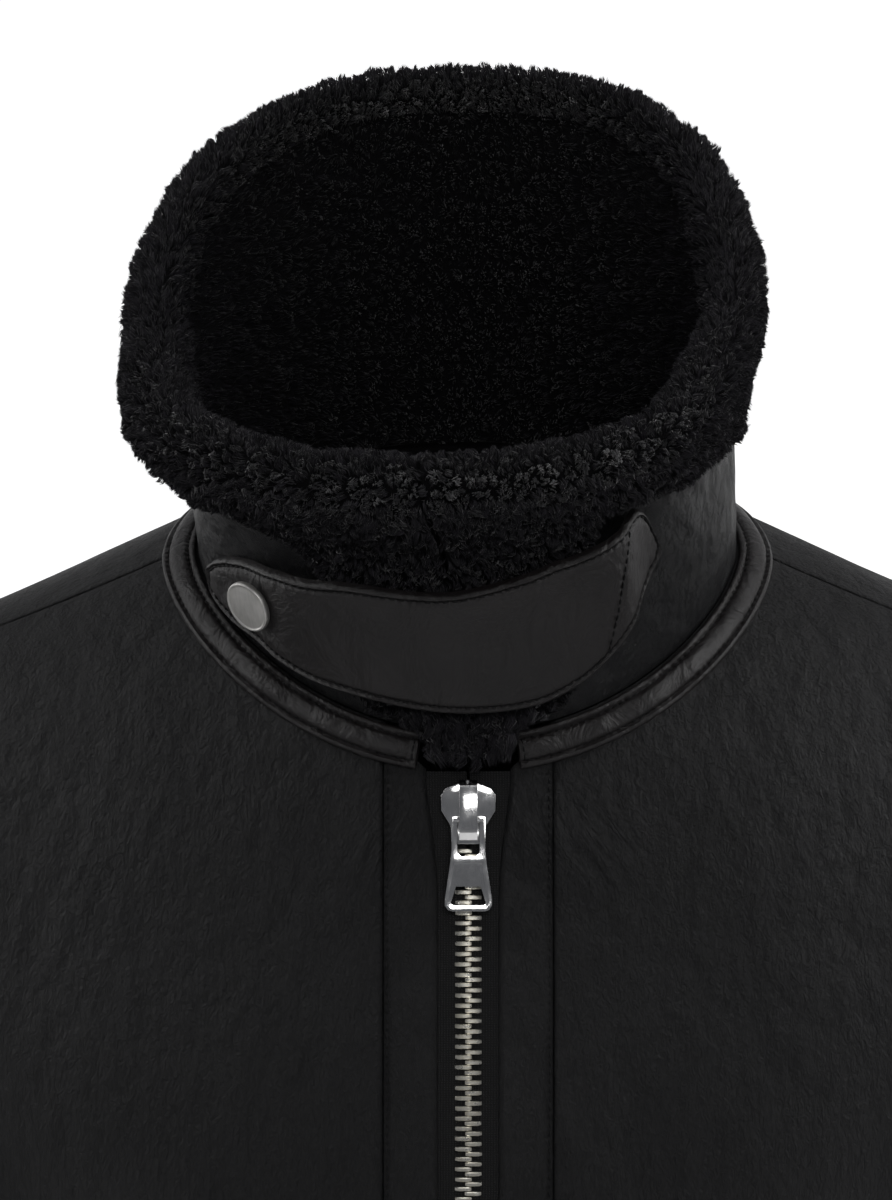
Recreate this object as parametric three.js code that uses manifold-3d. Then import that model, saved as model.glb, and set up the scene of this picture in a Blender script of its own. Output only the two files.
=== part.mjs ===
// A zip-front shearling coat, hollow, in the shape that it keeps when it is filled out as worn.
// Millimetres, +Z up, the front faces -Y. The origin lies between the shoulders at the neck points' height.
import * as THREE from "three";
import { mergeVertices } from "three/addons/utils/BufferGeometryUtils.js";
import Module from "manifold-3d";

const wasm = await Module();
wasm.setup();

// Wall thicknesses
const COAT_WALL = 7; // the hide with its clipped wool
const HIDE = 2; // the collar's hide alone
const COLLAR_WOOL = 8.5; // wool on the inner face of the collar
const SEAM_GAP = 0.34;
const PANEL_TRIM = 0.7; // a body panel's share of the gap

// Front opening and zip
const PLACKET_X = 29; // the sewn line of the front strips
const ZIP_EDGE_X = 10.3; // half the width of the channel that shows the zip
const ZIP_MOUTH_X = 4.2; // how much wider each side of the channel is at its top
const ZIP_MOUTH_LENGTH = 24;
const THROAT_DROP = 11.2; // between the band's ends the collar's wool reaches down to the zip
const THROAT_HALF = 13.8;
const THROAT_LEAN = 0.45;
const THROAT_HEIGHT = 0.14;
const ZIP_START = 12.8; // from the neck seam, along the centre front
const CHAIN_HALF = 4.6;
const CHAIN_TOP = -1.5; // heights are from the face of the fronts, outwards
const CHAIN_BACK = -5;
const TAPE_TOP = -2.6;
const TAPE_BACK = -3.9;
const CHAIN_START = 40; // along the zip, from the neck seam
const BOX_LENGTH = 13;

// Neck band and strap
const BAND_WIDTH = 13.5;
const BAND_THICK = 2.6;
const BAND_END_X = 15.8;
const STRAP_THICK = 3;
const SNAP_RADIUS = 9.2;
const SNAP_HEIGHT = 2.6;

// Slider and pull tab, in the slider's own frame: x across, y up the zip, z outwards
const HINGE_ALONG = 29.4; // from the neck seam down to the tab's hinge
const HINGE_HEIGHT = 2.0;
const BAR_RADIUS = 1;
const TAB_THICK = 1.7;
const BRIDGE_HALF = 3.1;

// Half of the body, x >= 0. Each row runs from the centre line to the edge of the panel:
// the shoulder seam down to "tip", the armhole down to "pit", then the side seam.
// reach is the curve's handle at the centre line, side* the point that its end aims at.
const BODY_COLUMNS = "row centreY centreZ reach sideX sideY sideZ edgeX edgeY edgeZ";
const FRONT = table(BODY_COLUMNS, [
  ["neck", -79, -37.5, 59, 97.5, -41, 1, 95.5, -5, 6],
  ["yoke", -97, -78, 80, 146, -58, -28.5, 150, -12, -16],
  ["tip", -121, -135, 94, 214, -66, -72, 236, -12, -50],
  ["high", -133, -170, 98, 186, -88, -110, 208, -52, -95],
  ["mid", -141, -204, 102, 176, -104, -152, 196, -72, -148],
  ["low", -147, -238, 106, 184, -102, -200, 195, -60, -200],
  ["pit", -150, -275, 110, 197, -84, -244, 203, 0, -240],
  ["chest", -152, -345, 112, 202, -80, -334, 201, 0, -330],
  ["waist", -147, -475, 110, 197, -76, -470, 197, 2, -470],
  ["hip", -143, -620, 112, 204, -75, -617, 204, 3, -615],
  ["hem", -145, -745, 114, 211, -76, -743, 211, 4, -742],
]);
const BACK = table(BODY_COLUMNS, [
  ["neck", 80, 18, 57, 93.5, 37, 14, 95.5, -5, 6],
  ["yoke", 94, -22, 80, 152, 38, -3, 150, -12, -16],
  ["tip", 110, -74, 98, 228, 44, -40, 236, -12, -50],
  ["high", 117, -112, 98, 194, 78, -98, 212, 46, -94],
  ["mid", 122, -152, 100, 182, 96, -148, 203, 72, -148],
  ["low", 124, -196, 104, 188, 90, -200, 203, 60, -205],
  ["pit", 124, -246, 108, 198, 74, -244, 203, 0, -240],
  ["chest", 120, -332, 108, 201, 66, -332, 201, 0, -330],
  ["waist", 110, -470, 104, 197, 62, -470, 197, 2, -470],
  ["hip", 118, -615, 106, 204, 67, -615, 204, 3, -615],
  ["hem", 125, -742, 110, 211, 72, -742, 211, 4, -742],
]);
const ROW = Object.fromEntries(FRONT.map((row, index) => [row.row, index]));
const CORNERS = [ROW.tip, ROW.pit];

// Soft folds of the body: along and across are places on a panel, spread is how far each reaches.
const BODY_FOLDS = table("panel side along across longSpread acrossSpread depth", [
  ["front", 1, 9.4, 0.74, 1.6, 0.09, 5],
  ["front", 1, 7.2, 0.92, 0.9, 0.12, -4],
  ["front", -1, 9.2, 0.7, 1.7, 0.1, 5],
  ["front", -1, 6.7, 0.88, 0.8, 0.12, -4],
  ["back", 1, 9.3, 0.62, 1.8, 0.12, 6],
  ["back", 1, 8.3, 0.2, 1.2, 0.16, -5],
  ["back", -1, 9.5, 0.55, 1.6, 0.12, 6],
  ["back", -1, 7.9, 0.3, 1.1, 0.15, -4],
]);

// Rings of the right-hand sleeve, x > 0, after its first ring, which is the armhole.
// pitch turns the ring from upright to level, swing turns the arm forwards.
const SLEEVE = table("ring x y z pitch swing outHalf foreHalf", [
  ["armhole", 215, 0, -144, 10, 0, 96, 76],
  ["cap", 241, 0, -157, 24, 0, 91, 78],
  ["crown", 261, 0, -178, 41, 0, 84, 78],
  ["bicep", 272, 1, -221, 60, 0, 73, 76],
  ["arm", 274, 3, -292, 76, 0, 64, 72],
  ["above", 280, 5, -372, 80, 2, 60, 68],
  ["elbow", 286, 3, -440, 82, 7, 58, 65],
  ["below", 292, -8, -510, 83, 11, 54, 60],
  ["fore", 298, -23, -592, 84, 12, 50, 55],
  ["cuff", 305, -42, -690, 84, 12, 47, 50],
]);
// Creases round the sleeves: at is a ring, round an angle from the outer side towards the front.
const SLEEVE_FOLDS = table("arm at round atSpread roundSpread depth", [
  [1, 5.6, 120, 0.22, 55, -6],
  [1, 6.15, 95, 0.2, 50, -6],
  [1, 6.75, 130, 0.2, 45, -5],
  [1, 5.9, 20, 0.5, 60, 3],
  [1, 8.4, 75, 0.22, 60, -4],
  [1, 3.4, 150, 0.35, 40, -4],
  [-1, 5.4, 110, 0.22, 50, -6],
  [-1, 6.0, 135, 0.2, 50, -6],
  [-1, 6.6, 90, 0.22, 55, -5],
  [-1, 6.1, 10, 0.5, 60, 3],
  [-1, 8.1, 90, 0.22, 60, -4],
  [-1, 3.7, 140, 0.35, 40, -4],
]);
const UPPER_SEAM = 0.6; // the sleeve's seams, as a share of the way from shoulder to armpit

// The collar, by stations round the neck: 0 is the front, +-1 the shoulder seams, +-2 the middle of the back.
// rim* is the middle of the rolled top. foldEdge is how far up the turned-out wool ends, roll its bulk.
const COLLAR_HALF = table("station rimX rimY rimZ foldEdge roll", [
  [-1.75, -57, 98, 136, 0.6, 12],
  [-1.5, -91.5, 68, 120.5, 0.45, 12.5],
  [-1.25, -107, 30, 96, 0.34, 13.5],
  [-1, -107, -8, 72, 0.31, 14.5],
  [-0.7, -100, -48, 63, 0.5, 16],
  [-0.5, -83, -74, 60, 0.71, 16],
  [-0.34, -63, -90.5, 59, 0.66, 15.5],
  [-0.29, -56, -94.5, 58, 0.59, 15.5],
  [-0.22, -46, -98.5, 58, 0.03, 15.5],
  [0, -14, -104, 59, 0.02, 15.5],
  [0.2, 21, -100, 60.5, 0.03, 15],
  [0.26, 30.5, -97, 61, 0.2, 14.5],
  [0.3, 36.5, -94, 62, 0.8, 14],
  [0.42, 52, -85, 64, 0.79, 13.5],
  [0.6, 70.5, -66, 69, 0.73, 13.5],
  [1, 91, -6, 86, 0.44, 12.5],
  [1.25, 91, 30, 106, 0.46, 12],
  [1.5, 80.5, 64, 126, 0.54, 12],
  [1.75, 50, 96, 139.5, 0.62, 12],
  [2, -6, 109, 142, 0.66, 12],
]);
const COLLAR = loopOfStations(COLLAR_HALF, 4);
const FLARE_OUT = 0.25; // the collar's curve: how much of its lean it has at mid height
const FLARE_UP = 0.6;
const FACING_WOOL = 5; // the turned-out wool at its lower edge
const ROLL_FOOT = 0.58; // how far up the turned-out wool starts to thicken into the roll

// The strap across the throat: low and high are heights up the collar, lift its distance from the hide.
const STRAP = table("station low high lift", [
  [-0.69, 0.12, 0.19, 1],
  [-0.675, 0.075, 0.225, 1],
  [-0.63, 0.06, 0.3, 1],
  [-0.57, 0.06, 0.375, 1],
  [-0.48, 0.085, 0.45, 1.8],
  [-0.4, 0.105, 0.51, 5.6],
  [-0.3, 0.12, 0.56, 8.2],
  [-0.2, 0.125, 0.59, 8.4],
  [0, 0.115, 0.58, 8.6],
  [0.14, 0.12, 0.63, 8.6],
  [0.22, 0.16, 0.675, 8.8],
  [0.28, 0.225, 0.7, 9.8],
  [0.34, 0.3, 0.725, 8.8],
  [0.4, 0.39, 0.75, 3.2],
  [0.43, 0.43, 0.67, 1.6],
  [0.465, 0.475, 0.495, 1],
]);
const SNAP_AT = { station: -0.46, height: 0.295 };

// Grid sizes
const NECK_ROWS = [0, 0.36, 0.9, 1.45];
const ARM_STEPS = 9;
const LOWER_STEPS = 8;
const FRONT_COLUMNS = 9;
const BACK_COLUMNS = 9;

const COLOURS = {
  hide: { color: 0x1b1b1d, roughness: 0.62, metalness: 0 },
  smoothLeather: { color: 0x1d1a1a, roughness: 0.42, metalness: 0 },
  wool: { color: 0x0c0b0d, roughness: 0.95, metalness: 0 },
  tape: { color: 0x111112, roughness: 0.9, metalness: 0 },
  nickel: { color: 0x9a9a9c, roughness: 0.3, metalness: 1 },
  teeth: { color: 0xa9a69a, roughness: 0.38, metalness: 1 },
};

// Tables and curves

function table(columns, rows) {
  const names = columns.split(" ");
  return rows.map((row) => Object.fromEntries(names.map((name, i) => [name, row[i]])));
}

// Rows round a closed ring of a given length, with two more before the first and two after the last.
function loopOfStations(rows, length) {
  const shifted = (row, by) => ({ ...row, station: row.station + by });
  const before = rows.slice(-2).map((row) => shifted(row, -length));
  const after = rows.slice(0, 2).map((row) => shifted(row, length));
  return [...before, ...rows, ...after];
}

const vector = (x, y, z) => new THREE.Vector3(x, y, z);
const mix = (a, b, t) => a + (b - a) * t;
const smooth = (t) => {
  const c = THREE.MathUtils.clamp(t, 0, 1);
  return c * c * (3 - 2 * c);
};
const bell = (distance, spread) => Math.exp(-((distance / spread) ** 2));

// A smooth run through one column of a table, at place t counted in rows; it may turn sharply at corners.
function along(rows, column, t, corners = []) {
  const last = rows.length - 1;
  const i = Math.min(Math.max(Math.floor(t), 0), last - 1);
  const f = THREE.MathUtils.clamp(t - i, 0, 1);
  const value = (k) => rows[Math.min(Math.max(k, 0), last)][column];
  const open = (k) => k > 0 && k < last && !corners.includes(k);
  const step = value(i + 1) - value(i);
  const from = open(i) ? (value(i + 1) - value(i - 1)) / 2 : step;
  const to = open(i + 1) ? (value(i + 2) - value(i)) / 2 : step;
  const f2 = f * f;
  const f3 = f2 * f;
  return (2 * f3 - 3 * f2 + 1) * value(i) + (f3 - 2 * f2 + f) * from
    + (3 * f2 - 2 * f3) * value(i + 1) + (f3 - f2) * to;
}

// The place, counted in rows, where a rising key column has a value.
function placeOf(rows, key, value) {
  const last = rows.length - 1;
  let i = 0;
  while (i < last - 1 && rows[i + 1][key] < value) i += 1;
  return i + (value - rows[i][key]) / (rows[i + 1][key] - rows[i][key]);
}

// Where a rising function of one number reaches a target, by halving.
function solve(fn, target, low, high) {
  let [a, b] = [low, high];
  for (let i = 0; i < 30; i += 1) {
    const middle = (a + b) / 2;
    if (fn(middle) < target) a = middle;
    else b = middle;
  }
  return (a + b) / 2;
}

const bezier = (p0, p1, p2, p3, t) => {
  const s = 1 - t;
  return vector(0, 0, 0)
    .addScaledVector(p0, s * s * s)
    .addScaledVector(p1, 3 * s * s * t)
    .addScaledVector(p2, 3 * s * t * t)
    .addScaledVector(p3, t * t * t);
};

// Body surface. side is +1 or -1, u runs from the centre line to the panel's edge, v down the rows.

function edgePoint(rows, side, v) {
  const at = (column) => along(rows, column, v, CORNERS);
  return vector(side * at("edgeX"), at("edgeY"), at("edgeZ"));
}

function plainBody(rows, side, u, v) {
  const at = (column) => along(rows, column, v);
  const centre = vector(0, at("centreY"), at("centreZ"));
  const edge = edgePoint(rows, side, v);
  const start = centre.clone().add(vector(side * at("reach"), 0, 0));
  const end = vector(side * at("sideX"), at("sideY"), at("sideZ"));
  return bezier(centre, start, end, edge, u);
}

// The unit normal of a surface given as a function of two numbers, turned towards a rough direction.
function normalOf(surface, a, b, towards, step = 0.004) {
  const da = surface(a + step, b).sub(surface(a - step, b));
  const db = surface(a, b + step).sub(surface(a, b - step));
  const normal = da.cross(db).normalize();
  return normal.dot(towards) < 0 ? normal.negate() : normal;
}

function bodyNormal(rows, side, u, v) {
  const inU = THREE.MathUtils.clamp(u, 0.004, 0.996);
  const inV = THREE.MathUtils.clamp(v, 0.004, ROW.hem - 0.004);
  const point = plainBody(rows, side, inU, inV);
  const surface = (a, b) => plainBody(rows, side, a, b);
  return normalOf(surface, inU, inV, vector(point.x, point.y, 30));
}

function foldHeight(rows, side, u, v) {
  const panel = rows === FRONT ? "front" : "back";
  const keepsEdges = smooth((1 - u) / 0.12) * smooth(u / 0.25);
  return BODY_FOLDS.filter((fold) => fold.panel === panel && fold.side === side)
    .map((fold) => (
      fold.depth * bell(v - fold.along, fold.longSpread) * bell(u - fold.across, fold.acrossSpread)
    ))
    .reduce((sum, height) => sum + height, 0) * keepsEdges;
}

function bodyPoint(rows, side, u, v, height = 0) {
  const lift = height + foldHeight(rows, side, u, v);
  return plainBody(rows, side, u, v).addScaledVector(bodyNormal(rows, side, u, v), lift);
}

// Walls. A grid is rows of points; a wall joins an outer grid and an inner grid along their borders.

function geometryOf(points, triangles) {
  const geometry = new THREE.BufferGeometry();
  const positions = points.flatMap((point) => [point.x, point.y, point.z]);
  geometry.setAttribute("position", new THREE.Float32BufferAttribute(positions, 3));
  geometry.setIndex(signedVolume(points, triangles) < 0
    ? triangles.map(([a, b, c]) => [a, c, b]).flat()
    : triangles.flat());
  geometry.computeVertexNormals();
  return geometry;
}

function signedVolume(points, triangles) {
  return triangles.reduce((sum, [a, b, c]) => (
    sum + points[a].dot(points[b].clone().cross(points[c])) / 6
  ), 0);
}

function wall(outer, inner) {
  const rows = outer.length;
  const columns = outer[0].length;
  const points = [...outer.flat(), ...inner.flat()];
  const half = rows * columns;
  const triangles = [];
  const quad = (a, b, c, d) => {
    const isShort = points[a].distanceTo(points[c]) <= points[b].distanceTo(points[d]);
    triangles.push(...(isShort ? [[a, b, c], [a, c, d]] : [[a, b, d], [b, c, d]]));
  };
  const id = (r, c, layer) => layer * half + r * columns + c;
  for (let r = 0; r < rows - 1; r += 1) {
    for (let c = 0; c < columns - 1; c += 1) {
      quad(id(r, c, 0), id(r + 1, c, 0), id(r + 1, c + 1, 0), id(r, c + 1, 0));
      quad(id(r, c, 1), id(r, c + 1, 1), id(r + 1, c + 1, 1), id(r + 1, c, 1));
    }
    quad(id(r, 0, 0), id(r, 0, 1), id(r + 1, 0, 1), id(r + 1, 0, 0));
    const end = columns - 1;
    quad(id(r, end, 0), id(r + 1, end, 0), id(r + 1, end, 1), id(r, end, 1));
  }
  for (let c = 0; c < columns - 1; c += 1) {
    quad(id(0, c, 0), id(0, c + 1, 0), id(0, c + 1, 1), id(0, c, 1));
    const foot = rows - 1;
    quad(id(foot, c, 0), id(foot, c, 1), id(foot, c + 1, 1), id(foot, c + 1, 0));
  }
  return geometryOf(points, triangles);
}

// Draws a grid's borders in, on the sides named, by half a seam's gap or as far as asked.
function trimmed(grid, sides, reach = SEAM_GAP / 2) {
  const copy = grid.map((row) => row.map((point) => point.clone()));
  const pull = (point, towards) => {
    const way = towards.clone().sub(point);
    point.addScaledVector(way, reach / way.length());
  };
  const last = grid.length - 1;
  const end = grid[0].length - 1;
  if (sides.includes("top")) copy[0].forEach((point, c) => pull(point, grid[1][c]));
  if (sides.includes("bottom")) copy[last].forEach((point, c) => pull(point, grid[last - 1][c]));
  if (sides.includes("start")) copy.forEach((row, r) => pull(row[0], grid[r][1]));
  if (sides.includes("end")) copy.forEach((row, r) => pull(row[end], grid[r][end - 1]));
  return copy;
}

// A body panel's grid, drawn in at its side edges.
const seamed = (grid) => trimmed(grid, ["start", "end"], SEAM_GAP * PANEL_TRIM);

// Body panels

const steps = (from, to, count) => (
  Array.from({ length: count + 1 }, (_, i) => mix(from, to, i / count))
);
const ARM_ROWS = steps(ROW.tip, ROW.pit, ARM_STEPS);
const BODY_ROWS = [...NECK_ROWS, ...ARM_ROWS, ...steps(ROW.pit, ROW.hem, LOWER_STEPS).slice(1)];
const ARM_CENTRE = vector(SLEEVE[0].x, SLEEVE[0].y, SLEEVE[0].z);

const mirrored = (point, side) => vector(point.x * side, point.y, point.z);

// The way from a point of the armhole to its middle: body and sleeve share it, so their edges meet.
function armholeInward(point, side) {
  return mirrored(ARM_CENTRE, side).sub(point).normalize();
}

// The way into the coat from a shoulder or side seam, the same for both panels that meet there.
function seamInward(side, v) {
  return bodyNormal(FRONT, side, 1, v).add(bodyNormal(BACK, side, 1, v)).normalize().negate();
}

function bodyInner(rows, side, u, v) {
  const outer = bodyPoint(rows, side, u, v);
  const onEdge = u > 0.999;
  const inArmhole = onEdge && v >= ROW.tip && v <= ROW.pit;
  const offSeam = onEdge ? seamInward(side, v) : bodyNormal(rows, side, u, v).negate();
  return outer.addScaledVector(inArmhole ? armholeInward(outer, side) : offSeam, COAT_WALL);
}

// The place down the rows that lies a given distance from the neck seam.
const vAtDistance = (rows, side, u, distance) => (
  solve((v) => plainBody(rows, side, u, v).distanceTo(plainBody(rows, side, u, 0)), distance, 0, 1)
);

const uAtX = (side, v, x) => solve((u) => Math.abs(plainBody(FRONT, side, u, v).x), x, 0, 1);

function frontPanel(side) {
  const columns = (v) => steps(uAtX(side, v, PLACKET_X), 1, FRONT_COLUMNS);
  const outer = BODY_ROWS.map((v) => columns(v).map((u) => bodyPoint(FRONT, side, u, v)));
  const inner = BODY_ROWS.map((v) => columns(v).map((u) => bodyInner(FRONT, side, u, v)));
  return wall(seamed(outer), seamed(inner));
}

// Half the width of the zip's channel at a distance down from the neck seam.
const zipEdge = (distance) => ZIP_EDGE_X + ZIP_MOUTH_X * bell(distance - ZIP_START, ZIP_MOUTH_LENGTH);

// The strip's inner edge starts lower than its outer one, where the zip starts.
function frontStrip(side) {
  const startV = vAtDistance(FRONT, side, 0, ZIP_START);
  const places = (v) => {
    const innerV = mix(startV, ROW.hem, v / ROW.hem);
    const innerX = zipEdge(zipDistance(innerV));
    return [[uAtX(side, innerV, innerX), innerV], [uAtX(side, v, PLACKET_X), v]];
  };
  const outer = BODY_ROWS.map((row) => places(row).map(([u, v]) => bodyPoint(FRONT, side, u, v)));
  const inner = BODY_ROWS.map((row) => places(row).map(([u, v]) => bodyInner(FRONT, side, u, v)));
  return wall(trimmed(outer, ["end"]), trimmed(inner, ["end"]));
}

function backPanel() {
  const places = [
    ...steps(1, 0, BACK_COLUMNS).map((u) => [-1, u]),
    ...steps(0, 1, BACK_COLUMNS).slice(1).map((u) => [1, u]),
  ];
  const outer = BODY_ROWS.map((v) => places.map(([side, u]) => bodyPoint(BACK, side, u, v)));
  const inner = BODY_ROWS.map((v) => places.map(([side, u]) => bodyInner(BACK, side, u, v)));
  return wall(seamed(outer), seamed(inner));
}

// Sleeves

// The frame of a ring at place t: its middle, its outward and its forward direction.
function ringFrame(t) {
  const at = (column) => along(SLEEVE, column, t);
  const pitch = THREE.MathUtils.degToRad(at("pitch"));
  const swing = THREE.MathUtils.degToRad(at("swing"));
  const drop = Math.sin(pitch);
  const axis = vector(Math.cos(pitch), -Math.sin(swing) * drop, -Math.cos(swing) * drop);
  const forward = vector(0, -Math.cos(swing), Math.sin(swing));
  const out = axis.clone().cross(forward).normalize();
  if (out.z + out.x < 0) out.negate();
  const middle = vector(at("x"), at("y"), at("z"));
  return { middle, out, forward, outHalf: at("outHalf"), foreHalf: at("foreHalf") };
}

function ringPoint(frame, angle) {
  return frame.middle.clone()
    .addScaledVector(frame.out, frame.outHalf * Math.cos(angle))
    .addScaledVector(frame.forward, frame.foreHalf * Math.sin(angle));
}

// The armhole's points from shoulder tip to armpit along the front, then back up, on the x > 0 side.
const ARMHOLE = [
  ...ARM_ROWS.map((v) => edgePoint(FRONT, 1, v)),
  ...ARM_ROWS.slice(1, -1).reverse().map((v) => edgePoint(BACK, 1, v)),
];

// Each armhole point's angle round the first ring, and how far it lies from that ring's ellipse.
const ARMHOLE_FRAME = ringFrame(0);
const ARMHOLE_PLACES = ARMHOLE.map((point) => {
  const away = point.clone().sub(ARMHOLE_FRAME.middle);
  const across = away.dot(ARMHOLE_FRAME.forward) / ARMHOLE_FRAME.foreHalf;
  const angle = Math.atan2(across, away.dot(ARMHOLE_FRAME.out) / ARMHOLE_FRAME.outHalf);
  return { angle, offset: point.clone().sub(ringPoint(ARMHOLE_FRAME, angle)) };
});

function creaseHeight(arm, t, angle) {
  const degrees = THREE.MathUtils.radToDeg(angle);
  return SLEEVE_FOLDS.filter((fold) => fold.arm === arm)
    .map((fold) => {
      const apart = ((degrees - fold.round + 540) % 360) - 180;
      return fold.depth * bell(t - fold.at, fold.atSpread) * bell(apart, fold.roundSpread);
    })
    .reduce((sum, height) => sum + height, 0);
}

const SLEEVE_ROWS = [0, 0.6, 1.2, 2, 2.7, 3.4, 4, 4.6, 5.1, 5.6, 6, 6.4, 6.8, 7.3, 7.9, 8.4, 9];

function sleevePoint(arm, t, index, depth) {
  const place = ARMHOLE_PLACES[index];
  const frame = ringFrame(t);
  const spread = (place.angle * (1 - smooth(t / 4))) + (evenAngle(index) * smooth(t / 4));
  const point = ringPoint(frame, spread).addScaledVector(place.offset, 1 - smooth(t / 2));
  const inward = frame.middle.clone().sub(point).normalize();
  point.addScaledVector(inward, depth - creaseHeight(arm, t, spread) * smooth(t / 3));
  return mirrored(point, arm);
}

// Angles spread evenly round a ring, in the armhole's order, with the armpit at half a turn.
function evenAngle(index) {
  const turn = (index / ARMHOLE.length) * 2 * Math.PI;
  return index <= ARMHOLE.length / 2 ? turn : turn - 2 * Math.PI;
}

function sleevePart(arm, isUpper) {
  const count = ARMHOLE.length;
  const seam = Math.round((count / 2) * UPPER_SEAM);
  const from = isUpper ? -seam : seam;
  const length = isUpper ? 2 * seam : count - 2 * seam;
  const indices = Array.from({ length: length + 1 }, (_, i) => (from + i + count) % count);
  const grid = (depth) => SLEEVE_ROWS.map((t) => (
    indices.map((index) => sleevePoint(arm, t, index, depth))
  ));
  const sides = (depth) => trimmed(grid(depth), ["start", "end"]);
  const shaped = (depth) => trimmed(sides(depth), ["top"], SEAM_GAP * PANEL_TRIM);
  return wall(shaped(0), shaped(COAT_WALL));
}

// Collar

// The neck seam at a station round the neck.
function neckSeam(station) {
  const side = station < 0 ? -1 : 1;
  const turn = Math.abs(station);
  return turn <= 1 ? plainBody(FRONT, side, turn, 0) : plainBody(BACK, side, 2 - turn, 0);
}

function collarAt(station, column) {
  return along(COLLAR, column, placeOf(COLLAR, "station", station));
}

// How far up the turned-out wool ends, straight from one station of the table to the next.
function foldEdgeAt(station) {
  const place = placeOf(COLLAR, "station", station);
  const i = Math.min(Math.floor(place), COLLAR.length - 2);
  return mix(COLLAR[i].foldEdge, COLLAR[i + 1].foldEdge, place - i);
}

// A point of the hide's outer face: height is 0 at the neck seam and 1 at the middle of the roll.
function collarSurface(station, height) {
  const base = neckSeam(station);
  base.z += SEAM_GAP * 2;
  const rim = vector(...["rimX", "rimY", "rimZ"].map((column) => collarAt(station, column)));
  const lean = rim.clone().sub(base);
  const bend = base.clone().add(vector(lean.x * FLARE_OUT, lean.y * FLARE_OUT, lean.z * FLARE_UP));
  return bezier(base, base.clone().lerp(bend, 2 / 3), rim.clone().lerp(bend, 2 / 3), rim, height);
}

function collarNormal(station, height) {
  const at = THREE.MathUtils.clamp(station, -1.99, 1.99);
  const up = THREE.MathUtils.clamp(height, 0.01, 0.99);
  const point = collarSurface(at, up);
  return normalOf(collarSurface, at, up, vector(point.x, point.y, 0), 0.01);
}

function collarPoint(station, height, lift) {
  return collarSurface(station, height).addScaledVector(collarNormal(station, height), lift);
}

// How far the wool's lowest points come down between the ends of the band.
function throatDrop(station, height) {
  const beside = (Math.abs(neckSeam(station).x) - THROAT_HALF) / (BAND_END_X - 1 - THROAT_HALF);
  const near = Math.abs(station) < 1 ? 1 - smooth(beside) : 0;
  const drop = THROAT_DROP * near * Math.max(0, 1 - height / THROAT_HEIGHT);
  return vector(0, -drop * THROAT_LEAN, -drop);
}

const HIDE_TOP = 0.93;
const SLOT_TOP = HIDE_TOP + 0.015;
const ROLL_ANGLES = [150, 120, 90, 60, 30]; // degrees over the roll, from the inside outwards
const stationAtX = (x) => solve((station) => neckSeam(station).x, x, 0, 1);
const NECK_GAP_STATION = stationAtX(BAND_END_X);
const COLLAR_STATIONS = [
  0, stationAtX(THROAT_HALF), NECK_GAP_STATION, 0.18, 0.26, 0.34, 0.42, 0.5, 0.6, 0.72, 0.86,
  1, 1.16, 1.32, 1.48, 1.65, 1.82,
];
const BOTH_WAYS = [
  ...COLLAR_STATIONS.map((station) => -station).reverse().slice(0, -1),
  ...COLLAR_STATIONS,
];

function collarHide() {
  const besideThroat = BOTH_WAYS.filter((station) => Math.abs(station) >= NECK_GAP_STATION - 1e-9);
  const stations = [-2, ...besideThroat, 2];
  const halves = [
    stations.filter((station) => station < 0),
    stations.filter((station) => station > 0),
  ];
  const ordered = [...halves[1], ...halves[0].slice(1)];
  const heights = steps(0, HIDE_TOP, 4);
  const grid = (lift) => heights.map((height) => (
    ordered.map((station) => collarPoint(station, height, lift))
  ));
  return wall(grid(0), grid(-HIDE));
}

// The wool's skin at a station: up the inside, over the roll and down the turned-out facing.
// Its slot, point by point beside the skin, is the space that the hide fills.
function woolSection(station) {
  const normal = collarNormal(station, 1);
  const up = collarSurface(station, 1).sub(collarSurface(station, 0.97)).normalize();
  const roll = collarAt(station, "roll");
  const foldEdge = foldEdgeAt(station);
  const point = (height, lift) => collarPoint(station, height, lift).add(throatDrop(station, height));
  const backFace = -HIDE - SEAM_GAP;
  const frontFace = SEAM_GAP * 3;
  const inside = backFace - COLLAR_WOOL;
  const taper = (height) => 1 - 0.45 * bell(height - foldEdge, 0.03);
  const bulk = (height) => smooth((height - ROLL_FOOT) / (1 - ROLL_FOOT));
  const facing = (height) => mix(FACING_WOOL, roll, bulk(height)) * taper(height);
  const rollMiddle = collarPoint(station, 1, (roll + inside) / 2);
  const rollHalf = (roll - inside) / 2;
  const overRoll = ROLL_ANGLES.map((degrees) => {
    const angle = THREE.MathUtils.degToRad(degrees);
    return rollMiddle.clone()
      .addScaledVector(normal, rollHalf * Math.cos(angle))
      .addScaledVector(up, rollHalf * Math.sin(angle));
  });
  const downHeights = [0.14, 0.36, 0.62, 0.86, 1].map((share) => [mix(1, foldEdge, share), share]);
  return {
    skin: [
      ...steps(0, 1, 4).map((height) => point(height, inside)),
      ...overRoll,
      ...downHeights.map(([height]) => point(height, facing(height))),
    ],
    slot: [
      ...steps(0, HIDE_TOP, 4).map((height) => point(height, backFace)),
      ...ROLL_ANGLES.map((degrees) => point(SLOT_TOP, mix(frontFace, backFace, degrees / 180))),
      ...downHeights.map(([, share]) => point(mix(HIDE_TOP, foldEdge, share), frontFace)),
    ],
  };
}

function collarWool() {
  const positive = COLLAR_STATIONS.slice(1);
  const negative = positive.map((station) => -station).reverse();
  const atFront = 0.004; // just short of the centre front, where the two ends of the collar meet
  const sections = [atFront, ...positive, 2, ...negative, -atFront].map(woolSection);
  return wall(sections.map((section) => section.skin), sections.map((section) => section.slot));
}

// Trims that lie on the panels

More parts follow.
